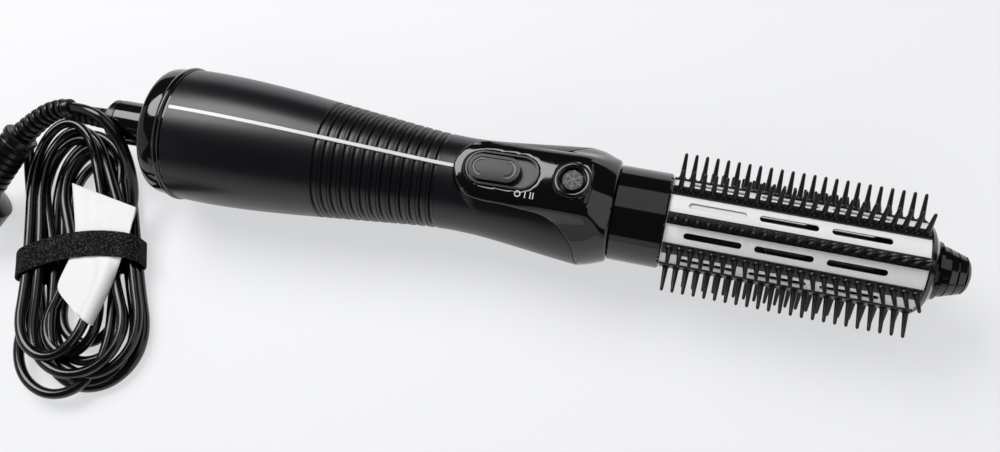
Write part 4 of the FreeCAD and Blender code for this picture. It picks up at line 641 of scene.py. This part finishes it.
shell_trees = [tree_of(node) for node in ("handle_shell_near", "handle_shell_far")]
skin = bmesh.new()
skin.from_mesh(housing_skin.data)
loose = []
for vertex in skin.verts:
    place = vertex.co
    up = place.z - AXIS_HEIGHT
    on_deck = abs(place.y) < KEPT_DECK * MM and up > KEPT_DECK_HEIGHT * MM
    on_ring = place.x > HOUSING_FRONT - KEPT_RING * MM
    inside = math.hypot(place.y, up) < KEPT_RADIUS * MM
    if on_deck or on_ring or inside:
        continue
    if any(tree.find_nearest(place, KEPT_JOINT * MM)[0] for tree in shell_trees):
        continue
    loose.append(vertex)
every_way = {"use_axis_x": True, "use_axis_y": True, "use_axis_z": True}
for step in range(EASE_STEPS):
    bmesh.ops.smooth_vert(skin, verts=skin.verts, factor=0.5, **every_way)
for step in range(RELAX_STEPS):
    bmesh.ops.smooth_vert(skin, verts=loose, factor=0.5, **every_way)
for face in skin.faces:
    face.smooth = True
skin.to_mesh(housing_skin.data)
skin.free()
housing_skin.data.materials.clear()
housing_skin.data.materials.append(GLOSS)
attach(housing_skin, "handle")
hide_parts("front_housing")
print("relaxed points", len(loose))

# %% [markdown]
# ## Lofted pieces
#
# The plug's sleeve, the plug, the tie and the tag are all grids of points, row after row.
# `grid_piece` joins the rows to a surface, and a piece that goes round closes on itself. A
# cloth simulation could drape the tie and the tag, but rows of points stay where they are set.

# %% Grids of points
def grid_piece(name, rows, finish, around=False, looped=False, capped=False):
    """A smooth surface through rows of points, in millimetres."""
    mesh = bmesh.new()
    lines = [[mesh.verts.new(Vector(point) * MM) for point in row] for row in rows]
    count = len(lines[0])
    following = lines[1:] + ([lines[0]] if looped else [])
    for line, after in zip(lines, following):
        for place in range(count if around else count - 1):
            beside = (place + 1) % count
            mesh.faces.new((line[place], line[beside], after[beside], after[place]))
    if capped:
        mesh.faces.new(lines[0])
        mesh.faces.new(reversed(lines[-1]))
    bmesh.ops.recalc_face_normals(mesh, faces=mesh.faces)
    piece = piece_from(name, mesh, finish)
    piece.data.shade_smooth()
    return piece


# %% [markdown]
# ## The plug and its sleeve
#
# The sleeve is a round tube along the tail's own line, with rings that grow towards the plug.
# Its section at each place is a circle whose radius comes from a list of steps. A curve with a
# round bevel could be tapered, but a list keeps the rings' flanks as steep as they are moulded.

# %% Plug sleeve
def line_of(points):
    """Places along a spline, in millimetres, read from the curve itself."""
    guide = spline_curve("guide", points, 0)
    guide.data.splines[0].resolution_u = 24
    line = bpy.data.meshes.new_from_object(guide)
    places = [vertex.co / MM for vertex in line.vertices]
    bpy.data.objects.remove(guide)
    return places


def at_length(places, length):
    """The place and the direction at a length along a line."""
    gone = 0.0
    for here, after in zip(places, places[1:]):
        step = (after - here).length
        if gone + step >= length:
            return here.lerp(after, (length - gone) / step), (after - here).normalized()
        gone += step
    direction = (places[-1] - places[-2]).normalized()
    return places[-1] + direction * (length - gone), direction


def round_tube(name, places, profile, finish, count=40):
    """A tube of revolution bent along a line. The profile lists (length, radius)."""
    rows = []
    for length, radius in profile:
        place, direction = at_length(places, length)
        aside = direction.cross(Vector((0, 0, 1))).normalized()
        upward = aside.cross(direction)
        row = []
        for step in range(count):
            angle = math.tau * step / count
            row.append(place + radius * (math.cos(angle) * aside + math.sin(angle) * upward))
        rows.append(row)
    return grid_piece(name, rows, finish, around=True, capped=True)


SLEEVE_RINGS = 8
SLEEVE_LENGTH = 33.0
SLEEVE_NOSE = 3.4
RING_RADIUS = 4.5
RING_GROWTH = 1.3
RING_DEPTH = 1.5
# A ring's section: the share of the pitch, and how far it lies below the ring's top.
RING_SHAPE = (
    (0.0, RING_DEPTH), (0.08, RING_DEPTH), (0.16, 0.25), (0.28, 0.0),
    (0.55, 0.0), (0.68, 0.25), (0.76, RING_DEPTH),
)
sleeve_profile = [(0.0, 2.5), (0.0, 3.5), (0.4, 3.9), (SLEEVE_NOSE, 4.2)]
ring_pitch = (SLEEVE_LENGTH - SLEEVE_NOSE) / SLEEVE_RINGS
for number in range(SLEEVE_RINGS):
    start = SLEEVE_NOSE + number * ring_pitch
    top = RING_RADIUS + RING_GROWTH * number / SLEEVE_RINGS
    for share, below in RING_SHAPE:
        sleeve_profile.append((start + share * ring_pitch, top - below))
sleeve_profile.append((SLEEVE_LENGTH, 4.4))
sleeve_line = line_of(RELIEF_ROUTE)
plug_sleeve = round_tube("plug_sleeve", sleeve_line, sleeve_profile, SATIN)
sharpen(plug_sleeve, 40)
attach(plug_sleeve, "handle")
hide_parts("plug_relief")
print("sleeve rows", len(sleeve_profile))

# %% [markdown]
# The plug's grip has ridges that grow towards the face, and the face is a wide disc. Grooves
# could be cut from a cone, but every section is a circle, so the same tube makes it from one
# list of radii, along a straight line.

# %% Plug
GRIP_RIDGES = 7
GRIP_START = 6.4
GRIP_RADIUS = 7.9
RIDGE_GROWTH = 0.25
RIDGE_PITCH = 3.4
# A ridge's section: how far along it is, and how far below the ridge's top.
RIDGE_SHAPE = ((0.0, 1.1), (0.5, 1.1), (0.8, 0.0), (2.9, 0.0), (3.2, 1.1))
PLUG_LENGTH = 46.0
PLUG_FACE = 9.0
plug_heading = Vector((-0.549, -0.767, -0.333)).normalized()
plug_start = Vector(RELIEF_ROUTE[-1])
plug_profile = [
    (0.0, 4.2), (0.0, 7.4), (0.5, 8.0), (2.4, 8.0), (2.9, 7.4),
    (3.0, 6.4), (4.6, 6.4), (4.7, 7.2), (5.2, 7.6),
]
for number in range(GRIP_RIDGES):
    start = GRIP_START + number * RIDGE_PITCH
    top = GRIP_RADIUS + RIDGE_GROWTH * number
    for further, below in RIDGE_SHAPE:
        plug_profile.append((start + further, top - below))
face_rear = PLUG_LENGTH - PLUG_FACE
plug_profile += [(face_rear - 5.0, 9.6), (face_rear - 2.0, 11.0), (face_rear, 17.0)]
plug_profile += [(face_rear + 0.6, 17.8), (PLUG_LENGTH - 0.6, 17.9)]
plug_profile += [(PLUG_LENGTH, 17.3), (PLUG_LENGTH, 3.0)]
plug_line = [plug_start, plug_start + plug_heading * PLUG_LENGTH]
plug_shell = round_tube("plug_shell", plug_line, plug_profile, SATIN, count=56)
sharpen(plug_shell, 32)
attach(plug_shell, "handle")
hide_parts("plug_body")
print("plug rows", len(plug_profile))

# %% [markdown]
# ## Tie and tag
#
# The tie is a woven band round the hank. Its section is swept round a rounded rectangle. The
# top of the band sags a little between the strands, and bows towards the hank's upper end. The
# tag is a bare white slip: it lies on the strands, passes under the tie, and its lower right
# side curls round one strand.

# %% The tie
TIE_SPAN = 30.5
TIE_TOP = 17.65
TIE_CORNER = 6.4
TIE_WIDTH = 12.6
TIE_THICKNESS = 1.2
TIE_STEPS = 160
TIE_CORNER_STEPS = 8
TIE_BOW = 5.5
# The sag: how deep it is, and how fast it comes and goes across the hank and along it.
SAG_DEPTH = 0.22
SAG_ACROSS = 2.6
SAG_ALONG = 5.0
# The band's edges are rounded: how far in and how far down that starts.
EDGE_IN = 0.5
EDGE_DOWN = 0.2


def woven_band():
    finish = Finish("woven_black", (0.002, 0.002, 0.0025), 0.75, Specular_IOR_Level=0.15)
    fibres = finish.noise(3400, 4)
    tufts = finish.noise(1100, 3)
    specks = fibres.within(0.54, 0.64) * tufts.within(0.42, 0.58)
    finish.color(finish.mix(specks, (0.0012, 0.0012, 0.0015, 1), (0.2, 0.2, 0.2, 1)))
    finish.rough(0.85 - specks * 0.35)
    finish.bump(fibres * 0.6 + tufts * 0.4, 0.0006, 0.8)
    return finish.material


def rounded_loop(half_span, height, corner, steps):
    """Points (across, up) and outward directions round a rounded rectangle that stands on 0."""
    across = half_span - corner
    up = height / 2 - corner
    corners = [Vector(c) for c in ((across, up), (-across, up), (-across, -up), (across, -up))]
    points = []
    for side, straight in enumerate((up, across, up, across)):
        start = math.radians(90 * side)
        outward = Vector((math.cos(start), math.sin(start)))
        count = max(2, round(steps * straight / (2 * half_span)))
        for step in range(count):
            place = corners[side - 1].lerp(corners[side], step / count)
            points.append((place + corner * outward, outward))
        for step in range(TIE_CORNER_STEPS):
            angle = start + math.radians(90) * step / TIE_CORNER_STEPS
            outward = Vector((math.cos(angle), math.sin(angle)))
            points.append((corners[side] + corner * outward, outward))
    return [(point + Vector((0, height / 2)), outward) for point, outward in points]


def tie_rows():
    half = TIE_WIDTH / 2
    flat = half - EDGE_IN
    deep = TIE_THICKNESS
    section = [
        (-half, EDGE_DOWN), (-flat, 0.0), (-half / 2, 0.0), (0.0, 0.0), (half / 2, 0.0),
        (flat, 0.0), (half, EDGE_DOWN), (half, deep - EDGE_DOWN), (flat, deep), (-flat, deep),
        (-half, deep - EDGE_DOWN),
    ]
    rows = []
    for point, outward in rounded_loop(TIE_SPAN, TIE_TOP, TIE_CORNER, TIE_STEPS):
        row = []
        for along, depth in section:
            place = point - outward * depth
            sag = 0.0
            bend = 0.0
            if point.y > TIE_TOP * 0.5:
                bend = TIE_BOW * (1 - (place.x / TIE_SPAN) ** 2)
            if point.y > TIE_TOP * 0.6:
                sag = SAG_DEPTH * math.sin(point.x / SAG_ACROSS) * math.cos(along / SAG_ALONG)
            row.append(in_hank(along - bend, place.x, place.y - max(0.0, sag)))
        rows.append(row)
    return rows


tie = grid_piece("woven_tie", tie_rows(), woven_band(), around=True, looped=True)
sharpen(tie, 50)
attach(tie, "handle")
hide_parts("cable_tie")
print("tie faces", len(tie.data.polygons))

# %% The tag
# Each row of the tag: its left and right ends, the share of the curl, and its height.
TAG_ROWS = [
    ((-198.3, -30.5), (-161.8, -36.2), 0.0, 17.0),
    ((-196.2, -35.0), (-161.3, -39.2), 0.0, 16.7),
    ((-192.9, -42.0), (-161.3, -42.4), 0.0, 16.4),
    ((-189.6, -49.0), (-161.1, -46.0), 0.0, 16.15),
    ((-187.7, -53.0), (-160.8, -47.5), 0.0, 16.1),
    ((-185.6, -58.6), (-160.5, -54.5), 0.0, 16.1),
    ((-184.8, -63.5), (-160.3, -61.0), 0.1, 16.15),
    ((-185.3, -69.5), (-160.9, -66.5), 0.6, 16.3),
    ((-186.0, -76.0), (-161.6, -74.0), 1.0, 16.2),
    ((-186.4, -81.8), (-162.4, -81.5), 1.0, 15.9),
    ((-179.5, -86.2), (-163.2, -88.5), 1.0, 15.8),
    ((-171.9, -90.9), (-163.9, -94.4), 1.0, 15.8),
]
CURL_RADIUS = 3.9
CURL_SINK = 2.2
CURL_START = 148
CURL_SWEEP = 190
CURL_POINTS = 9
FLAT_POINTS = 7
RUMPLE = 0.22


def tag_row(left, right, curl, height):
    left = Vector((*left, height))
    right = Vector((*right, height))
    count = FLAT_POINTS + CURL_POINTS
    flat = [left.lerp(right, place / (count - 1)) for place in range(count)]
    toward = (right - left).normalized()
    middle = right - toward * CURL_RADIUS + Vector((0, 0, -CURL_SINK))
    foot = middle - toward * (CURL_RADIUS + 0.6)
    foot.z = height
    rolled = []
    for place in range(FLAT_POINTS):
        rolled.append(left.lerp(foot, place / FLAT_POINTS))
    for place in range(CURL_POINTS):
        angle = math.radians(CURL_START - CURL_SWEEP * place / (CURL_POINTS - 1))
        outward = math.cos(angle) * toward + math.sin(angle) * Vector((0, 0, 1))
        rolled.append(middle + CURL_RADIUS * outward)
    row = [one.lerp(other, curl) for one, other in zip(flat, rolled)]
    for place, point in enumerate(row):
        point.z += RUMPLE * math.sin(place * 1.9) * (1 - curl)
    return row


def slip_white():
    finish = Finish("slip_white", (0.95, 0.95, 0.95), 0.5)
    grain = finish.noise(1500, 4)
    cloud = finish.noise(70, 2)
    finish.color(finish.mix(cloud, (0.86, 0.86, 0.865, 1), (0.93, 0.93, 0.93, 1)))
    finish.rough(0.42 + grain * 0.16)
    finish.bump(grain * 0.4 + cloud * 0.6, 0.0003, 0.35)
    return finish.material


TAG_THICKNESS = 0.22
tag = grid_piece("blank_tag", [tag_row(*row) for row in TAG_ROWS], slip_white())
smoothing = tag.modifiers.new("smoothing", "SUBSURF")
smoothing.levels = 2
smoothing.render_levels = 2
smoothing.boundary_smooth = "PRESERVE_CORNERS"
body = tag.modifiers.new("body", "SOLIDIFY")
body.thickness = TAG_THICKNESS * MM
body.offset = 0
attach(tag, "handle")
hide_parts("cord_tag")
print("tag faces", len(tag.data.polygons))

# %% [markdown]
# The length of the cord was measured along its own line.

print("cord declared, length", round(cord_length, 2))

# %% [markdown]
# ## Marks on the deck
#
# Three printed marks stand beside the switch: a ring for off and one and two bars for the two
# speeds. An image could show them, but thin plates stay sharp from near by. Each mark is laid
# on the surface under it, found by a ray from above.

# %% Marks
ALONG_X = Vector((1, 0, 0))
RAY_START = 0.2
MARK_ROOT = 0.08


def surface_under(piece, x, y):
    """The point and the normal of a piece's surface, seen from straight above."""
    inverse = piece.matrix_world.inverted()
    origin = inverse @ Vector((x, y, RAY_START))
    straight_down = (inverse.to_3x3() @ Vector((0, 0, -1))).normalized()
    found, place, normal, _ = piece.ray_cast(origin, straight_down)
    if not found:
        raise ValueError(f"nothing of {piece.name} under {x}, {y}")
    return piece.matrix_world @ place, (piece.matrix_world.to_3x3() @ normal).normalized()


def bar(center, size, angle=0.0):
    """Corners of a bar, in the plane of a mark, in millimetres."""
    half = Vector(size) / 2
    turn = Matrix.Rotation(angle, 2)
    signs = ((-1, -1), (1, -1), (1, 1), (-1, 1))
    return [Vector(center) + turn @ Vector((x * half.x, y * half.y)) for x, y in signs]


def ring(radius, width, count=40):
    """Four-cornered pieces that make a ring."""
    pieces = []
    for step in range(count):
        here, there = (math.tau * s / count for s in (step, step + 1))
        inner = [Vector((math.cos(a), math.sin(a))) * (radius - width) for a in (there, here)]
        outer = [Vector((math.cos(a), math.sin(a))) * radius for a in (here, there)]
        pieces.append(outer + inner)
    return pieces


def laid_mark(name, shapes, place, normal, height, finish):
    """Plates of one height laid on a surface, each with its lower edge a little below it."""
    right = (ALONG_X - normal * ALONG_X.dot(normal)).normalized()
    up = normal.cross(right)
    mesh = bmesh.new()
    for shape in shapes:
        sides = []
        for level in (-MARK_ROOT, height):
            corners = [place + MM * (p.x * right + p.y * up + level * normal) for p in shape]
            sides.append([mesh.verts.new(corner) for corner in corners])
        low_side, high_side = sides
        mesh.faces.new(high_side)
        mesh.faces.new(reversed(low_side))
        for one in range(len(shape)):
            two = (one + 1) % len(shape)
            mesh.faces.new((low_side[one], low_side[two], high_side[two], high_side[one]))
    bmesh.ops.remove_doubles(mesh, verts=mesh.verts, dist=1e-6)
    return piece_from(name, mesh, finish)


PRINT_WHITE = moulded("print_white", (0.8, 0.8, 0.8), 0.4)
MARK_HEIGHT = 2.7
MARK_WIDTH = 0.42
MARK_ROW = -9.1
MARK_RAISE = 0.04
bpy.context.view_layer.update()
MARKS = {
    "mark_off": (22.0, ring(MARK_HEIGHT / 2, MARK_WIDTH)),
    "mark_one": (25.2, [bar((0, 0), (MARK_WIDTH, MARK_HEIGHT))]),
    "mark_two": (28.0, [bar((aside, 0), (MARK_WIDTH, MARK_HEIGHT)) for aside in (-0.6, 0.6)]),
}
for name, (along, shapes) in MARKS.items():
    place, normal = surface_under(housing_skin, along * MM, MARK_ROW * MM)
    mark = laid_mark(name, shapes, place, normal, MARK_RAISE, PRINT_WHITE)
    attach(mark, "handle")
print("marks at height", round(place.z, 4))

# %% [markdown]
# A snowflake on the button stands for the cold shot. It has six arms, each with two short
# branches. It stands a little proud, as a moulded sign does, so the light finds its edges. Its
# grey is a painted highlight on what is a dark emboss.

# %% Snowflake
FLAKE_REACH = 4.2
FLAKE_BAR = 0.45
FLAKE_RAISE = 0.25
BRANCH_LENGTH = 1.3
BRANCH_SHIFT = 0.6
BRANCH_ANGLE = math.radians(55)
BUTTON_NODE = "cold_shot_button"
flake_shapes = []
for arm in range(6):
    angle = math.radians(30 + 60 * arm)
    direction = Vector((math.cos(angle), math.sin(angle)))
    flake_shapes.append(bar(direction * FLAKE_REACH / 2, (FLAKE_REACH, FLAKE_BAR), angle))
    for side in (-1, 1):
        branch = angle + side * BRANCH_ANGLE
        root = direction * FLAKE_REACH * 0.55
        middle = root + Vector((math.cos(branch), math.sin(branch))) * BRANCH_SHIFT
        flake_shapes.append(bar(middle, (BRANCH_LENGTH, FLAKE_BAR * 0.9), branch))
button_low, button_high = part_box(BUTTON_NODE)
button_middle = (button_low + button_high) / 2
place, normal = surface_under(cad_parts[BUTTON_NODE], button_middle.x, button_middle.y)
# The flake's grey is a painted highlight; the sign itself is a dark emboss.
FLAKE_PAINTED_HIGHLIGHT = moulded("flake_painted_highlight", (0.16, 0.16, 0.165), 0.3)
flake = laid_mark("snowflake", flake_shapes, place, normal, FLAKE_RAISE, FLAKE_PAINTED_HIGHLIGHT)
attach(flake, "cold_shot")
print("snowflake at", [round(c, 4) for c in place])

# %% [markdown]
# ## Thumb grooves
#
# The slider's cap is finely mottled, and two half rings are sunk in it for the thumb. The mesh
# has the hollows. The finish paints shade into them and a pale painted highlight on their outer
# edges. An image could do that, but the distance from a middle draws a ring exactly. The pattern
# follows the cap, as it reads the cap's own points.

# %% The slider's cap
GROOVE_AHEAD = 5.2
# The groove ring is darkened as painted shade, and the edge ring lightened as a painted highlight.
# Where a ring begins, is full, is last full and ends, as distances from its middle.
GROOVE_SHADE_RING = (2.5, 2.6, 3.4, 3.5)
EDGE_HIGHLIGHT_RING = (3.45, 3.6, 3.8, 3.95)


def cap_with_painted_light():
    finish = Finish("cap_with_painted_light", (0.004, 0.004, 0.0045), 0.25, Specular_IOR_Level=0.34)
    along, side, _ = finish.split(finish.point())
    middle = (low("switch_cap").x + high("switch_cap").x) / 2
    ahead = (along - middle).math("ABSOLUTE") - GROOVE_AHEAD * MM
    away = (ahead * ahead + side * side).math("POWER", 0.5)
    half = ahead.above(0)

    def half_ring(*limits):
        begins, full, last_full, ends = (limit * MM for limit in limits)
        return away.within(begins, full) * away.within(ends, last_full) * half

    # Painted shade fills the grooves, and a painted highlight lies on their outer edges.
    groove, edge = half_ring(*GROOVE_SHADE_RING), half_ring(*EDGE_HIGHLIGHT_RING)
    mottle = finish.noise(900, 4)
    plain = finish.mix(mottle.within(0.4, 0.6), (0.002, 0.002, 0.0025, 1), (0.02, 0.02, 0.021, 1))
    sunk = finish.mix(groove, plain, (0.001, 0.001, 0.001, 1))
    finish.color(finish.mix(edge * 0.8, sunk, (0.3, 0.3, 0.31, 1)))
    finish.rough(0.22 + mottle * 0.16)
    finish.bump(mottle, 0.00004, 0.4)
    return finish.material


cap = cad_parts["switch_cap"]
cap.data.materials.clear()
cap.data.materials.append(cap_with_painted_light())
print("cap faces", len(cap.data.polygons))

# %% [markdown]
# ## Bezel
#
# The ring round the cold-shot button is a half-round bead of gloss plastic. A bead shows a
# lamp twice: as a thin line on its near side, and as a crescent inside, on its far side. The
# CAD ring has flat chamfers, which show neither, so the bead is spun from half a circle.

# %% Bezel
DECK_TILT = math.radians(4.0)
DECK_UP = Vector((-math.sin(DECK_TILT), 0.0, math.cos(DECK_TILT)))
BEZEL_DEPTH = 2.4
BEZEL_PROUD = 0.5
BEAD_PROUD = 0.75
BEZEL_BORE = 5.5
BEZEL_RADIUS = 7.9
BEAD_STEPS = 8

bezel_low, bezel_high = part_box("button_bezel")
bezel_foot = (bezel_low + bezel_high) / 2 + DECK_UP * (BEZEL_DEPTH - BEZEL_PROUD) / 2 * MM
bead_middle = (BEZEL_BORE + BEZEL_RADIUS) / 2
bead_half = (BEZEL_RADIUS - BEZEL_BORE) / 2

section = [(BEZEL_BORE, -BEZEL_DEPTH)]
for step in range(BEAD_STEPS + 1):
    angle = math.pi * (1 - step / BEAD_STEPS)
    section.append((bead_middle + bead_half * math.cos(angle), BEAD_PROUD * math.sin(angle)))
section.append((BEZEL_RADIUS, -BEZEL_DEPTH))
on_the_deck = Matrix.Translation(bezel_foot) @ Matrix.Rotation(-DECK_TILT, 4, "Y")
bezel_bead = spun("bezel_bead", section, on_the_deck, GLOSS, steps=72)
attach(bezel_bead, "handle")
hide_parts("button_bezel")
print("bezel faces", len(bezel_bead.data.polygons))

# %% [markdown]
# ## Pad under a slot
#
# One of the barrel's slots, the rear one of the row on top, is closed from inside by a white
# pad that lies just under the barrel's wall. The wall could be filled there instead, but then
# the slot's edge would be lost. A thin box with softened edges keeps it.

# %% Slot pad
PAD_SIZE = (24.3, 3.4, 0.3)
PAD_EDGE = 0.08
PAD_TURN = math.radians(-5.7)
PAD_FROM_SLEEVE = 19.55
PAD_HEIGHT = 17.3

mesh = bmesh.new()
bmesh.ops.create_cube(mesh, size=1.0)
bmesh.ops.scale(mesh, vec=PAD_SIZE, verts=mesh.verts)
bmesh.ops.bevel(mesh, geom=mesh.edges, offset=PAD_EDGE, segments=2, affect="EDGES",
                profile=0.5, material=-1)
bmesh.ops.translate(mesh, vec=(0, 0, PAD_HEIGHT), verts=mesh.verts)
slot_place = Matrix.Translation((SLEEVE_FRONT + PAD_FROM_SLEEVE * MM, 0, AXIS_HEIGHT))
slot_place = slot_place @ Matrix.Rotation(PAD_TURN, 4, "X") @ Matrix.Scale(MM, 4)
bmesh.ops.transform(mesh, matrix=slot_place, verts=mesh.verts)
slot_pad = piece_from("slot_pad", mesh, moulded("pad_white", (0.93, 0.93, 0.93), 0.5))
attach(slot_pad, "brush")
print("pad faces", len(slot_pad.data.polygons))

# %% [markdown]
# ## Springs
#
# Two springs sit in the brush: one under the cold-shot button, and one behind the steam knob.
# Each is a smooth copy of the CAD spring, on the body it belongs to.

# %% Springs
def sprung(node, body):
    """A smooth zinc copy of a spring, attached to a body, in place of the CAD node."""
    coil = merged_copy(node, node + "_coil")
    for face in coil.data.polygons:
        face.use_smooth = True
    coil.data.materials.append(ZINC)
    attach(coil, body)
    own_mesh(coil)
    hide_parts(node)
    return coil


button_coil = sprung("button_spring", "handle")
steam_coil = sprung("steam_spring", "cartridge")
print("spring faces", len(button_coil.data.polygons), len(steam_coil.data.polygons))

# %% [markdown]
# ## Table and light
#
# The brush lies on a white table. The table glows a little, but only for the camera and for rays
# that come by way of gloss or glass. That makes the background pale, also where the brush
# mirrors it, and throws no more light up on its matt parts. Stronger lamps would do it too, but
# they would turn the black plastic grey.
#
# A wide lamp above gives the soft shadow and the long highlights. Weaker ones stand to the
# right, to both sides and low in front. A fill lamp in front lights the pale pieces, and is kept
# out of reflections, so that the black stays black.

# %% The table
TABLE_SIZE = 6.0
TABLE_DEPTH = 0.0002
TABLE_GREY = (0.34, 0.34, 0.345)
GLOW = {"Color": (0.97, 0.98, 1.0, 1), "Strength": 0.58}


def white_table():
    finish = Finish("white_table", TABLE_GREY, 0.6)
    rays = finish.add("ShaderNodeLightPath").outputs
    kinds = ["Is Camera Ray", "Is Glossy Ray", "Is Transmission Ray"]
    camera_ray, glossy_ray, clear_ray = [Value(finish, rays[kind]) for kind in kinds]
    seen = camera_ray.math("MAXIMUM", glossy_ray).math("MAXIMUM", clear_ray)
    plain = finish.shader.outputs[0]
    glow = finish.add("ShaderNodeEmission", None, GLOW).outputs[0]
    glowing = finish.add("ShaderNodeAddShader", None, {0: plain, 1: glow}).outputs[0]
    mixed = finish.add("ShaderNodeMixShader", None, {0: seen, 1: plain, 2: glowing})
    finish.feed(finish.tree.nodes["Material Output"].inputs["Surface"], mixed.outputs[0])
    return finish.material


table_mesh = bmesh.new()
bmesh.ops.create_grid(table_mesh, x_segments=1, y_segments=1, size=TABLE_SIZE / 2)
table = piece_from("table", table_mesh, white_table())
table.location.z = -TABLE_DEPTH
print("table faces", len(table.data.polygons))


# %% The lamps
def softbox(name, shape, place, target, size, brightness):
    """A flat lamp, as bright all over as the brightness times a white wall in plain light."""
    lamp = bpy.data.lights.new(name, "AREA")
    lamp.shape = shape
    lamp.size, lamp.size_y = size
    fill = math.pi / 4 if shape == "ELLIPSE" else 1.0
    lamp.energy = brightness * math.pi * fill * size[0] * size[1]
    holder = linked(name, lamp)
    holder.location = place
    aim = Vector(target) - Vector(place)
    holder.rotation_mode = "QUATERNION"
    holder.rotation_quaternion = aim.to_track_quat("-Z", "Y")
    return holder


# Each lamp: its shape, its place, what it points at, its size and its brightness.
LAMPS = {
    "main_lamp": ("ELLIPSE", (-0.6, 0.43, 1.0), (0, 0, 0), (1.0, 0.68), 7.1),
    "right_lamp": ("RECTANGLE", (0.5, 0.5, 1.05), (0.5, 0.5, 0), (1.1, 1.2), 0.75),
    "low_lamp": ("RECTANGLE", (0.0, -1.1, 0.17), (0, 0, 0.05), (1.8, 0.26), 0.55),
    "left_side_lamp": ("RECTANGLE", (-1.5, -0.4, 0.6), (-0.1, 0, 0), (1.7, 1.0), 0.4),
    "right_side_lamp": ("RECTANGLE", (1.6, -0.4, 0.6), (0.1, 0, 0), (1.7, 1.0), 0.9),
    "fill_lamp": ("RECTANGLE", (0.15, -1.1, 0.9), (0.1, 0, 0), (1.2, 0.8), 1.6),
}
lamps = {name: softbox(name, *facts) for name, facts in LAMPS.items()}
lamps["fill_lamp"].visible_glossy = False

world = bpy.data.worlds.new("studio")
bpy.context.scene.world = world
world.use_nodes = True
background = world.node_tree.nodes["Background"].inputs
background["Color"].default_value = (0.93, 0.95, 1.0, 1.0)
background["Strength"].default_value = 0.04
bpy.context.scene.view_settings.view_transform = "Standard"
print("lamps", len(lamps))

# %% [markdown]
# ## Finish

# %% Finish
bpy.context.view_layer.update()
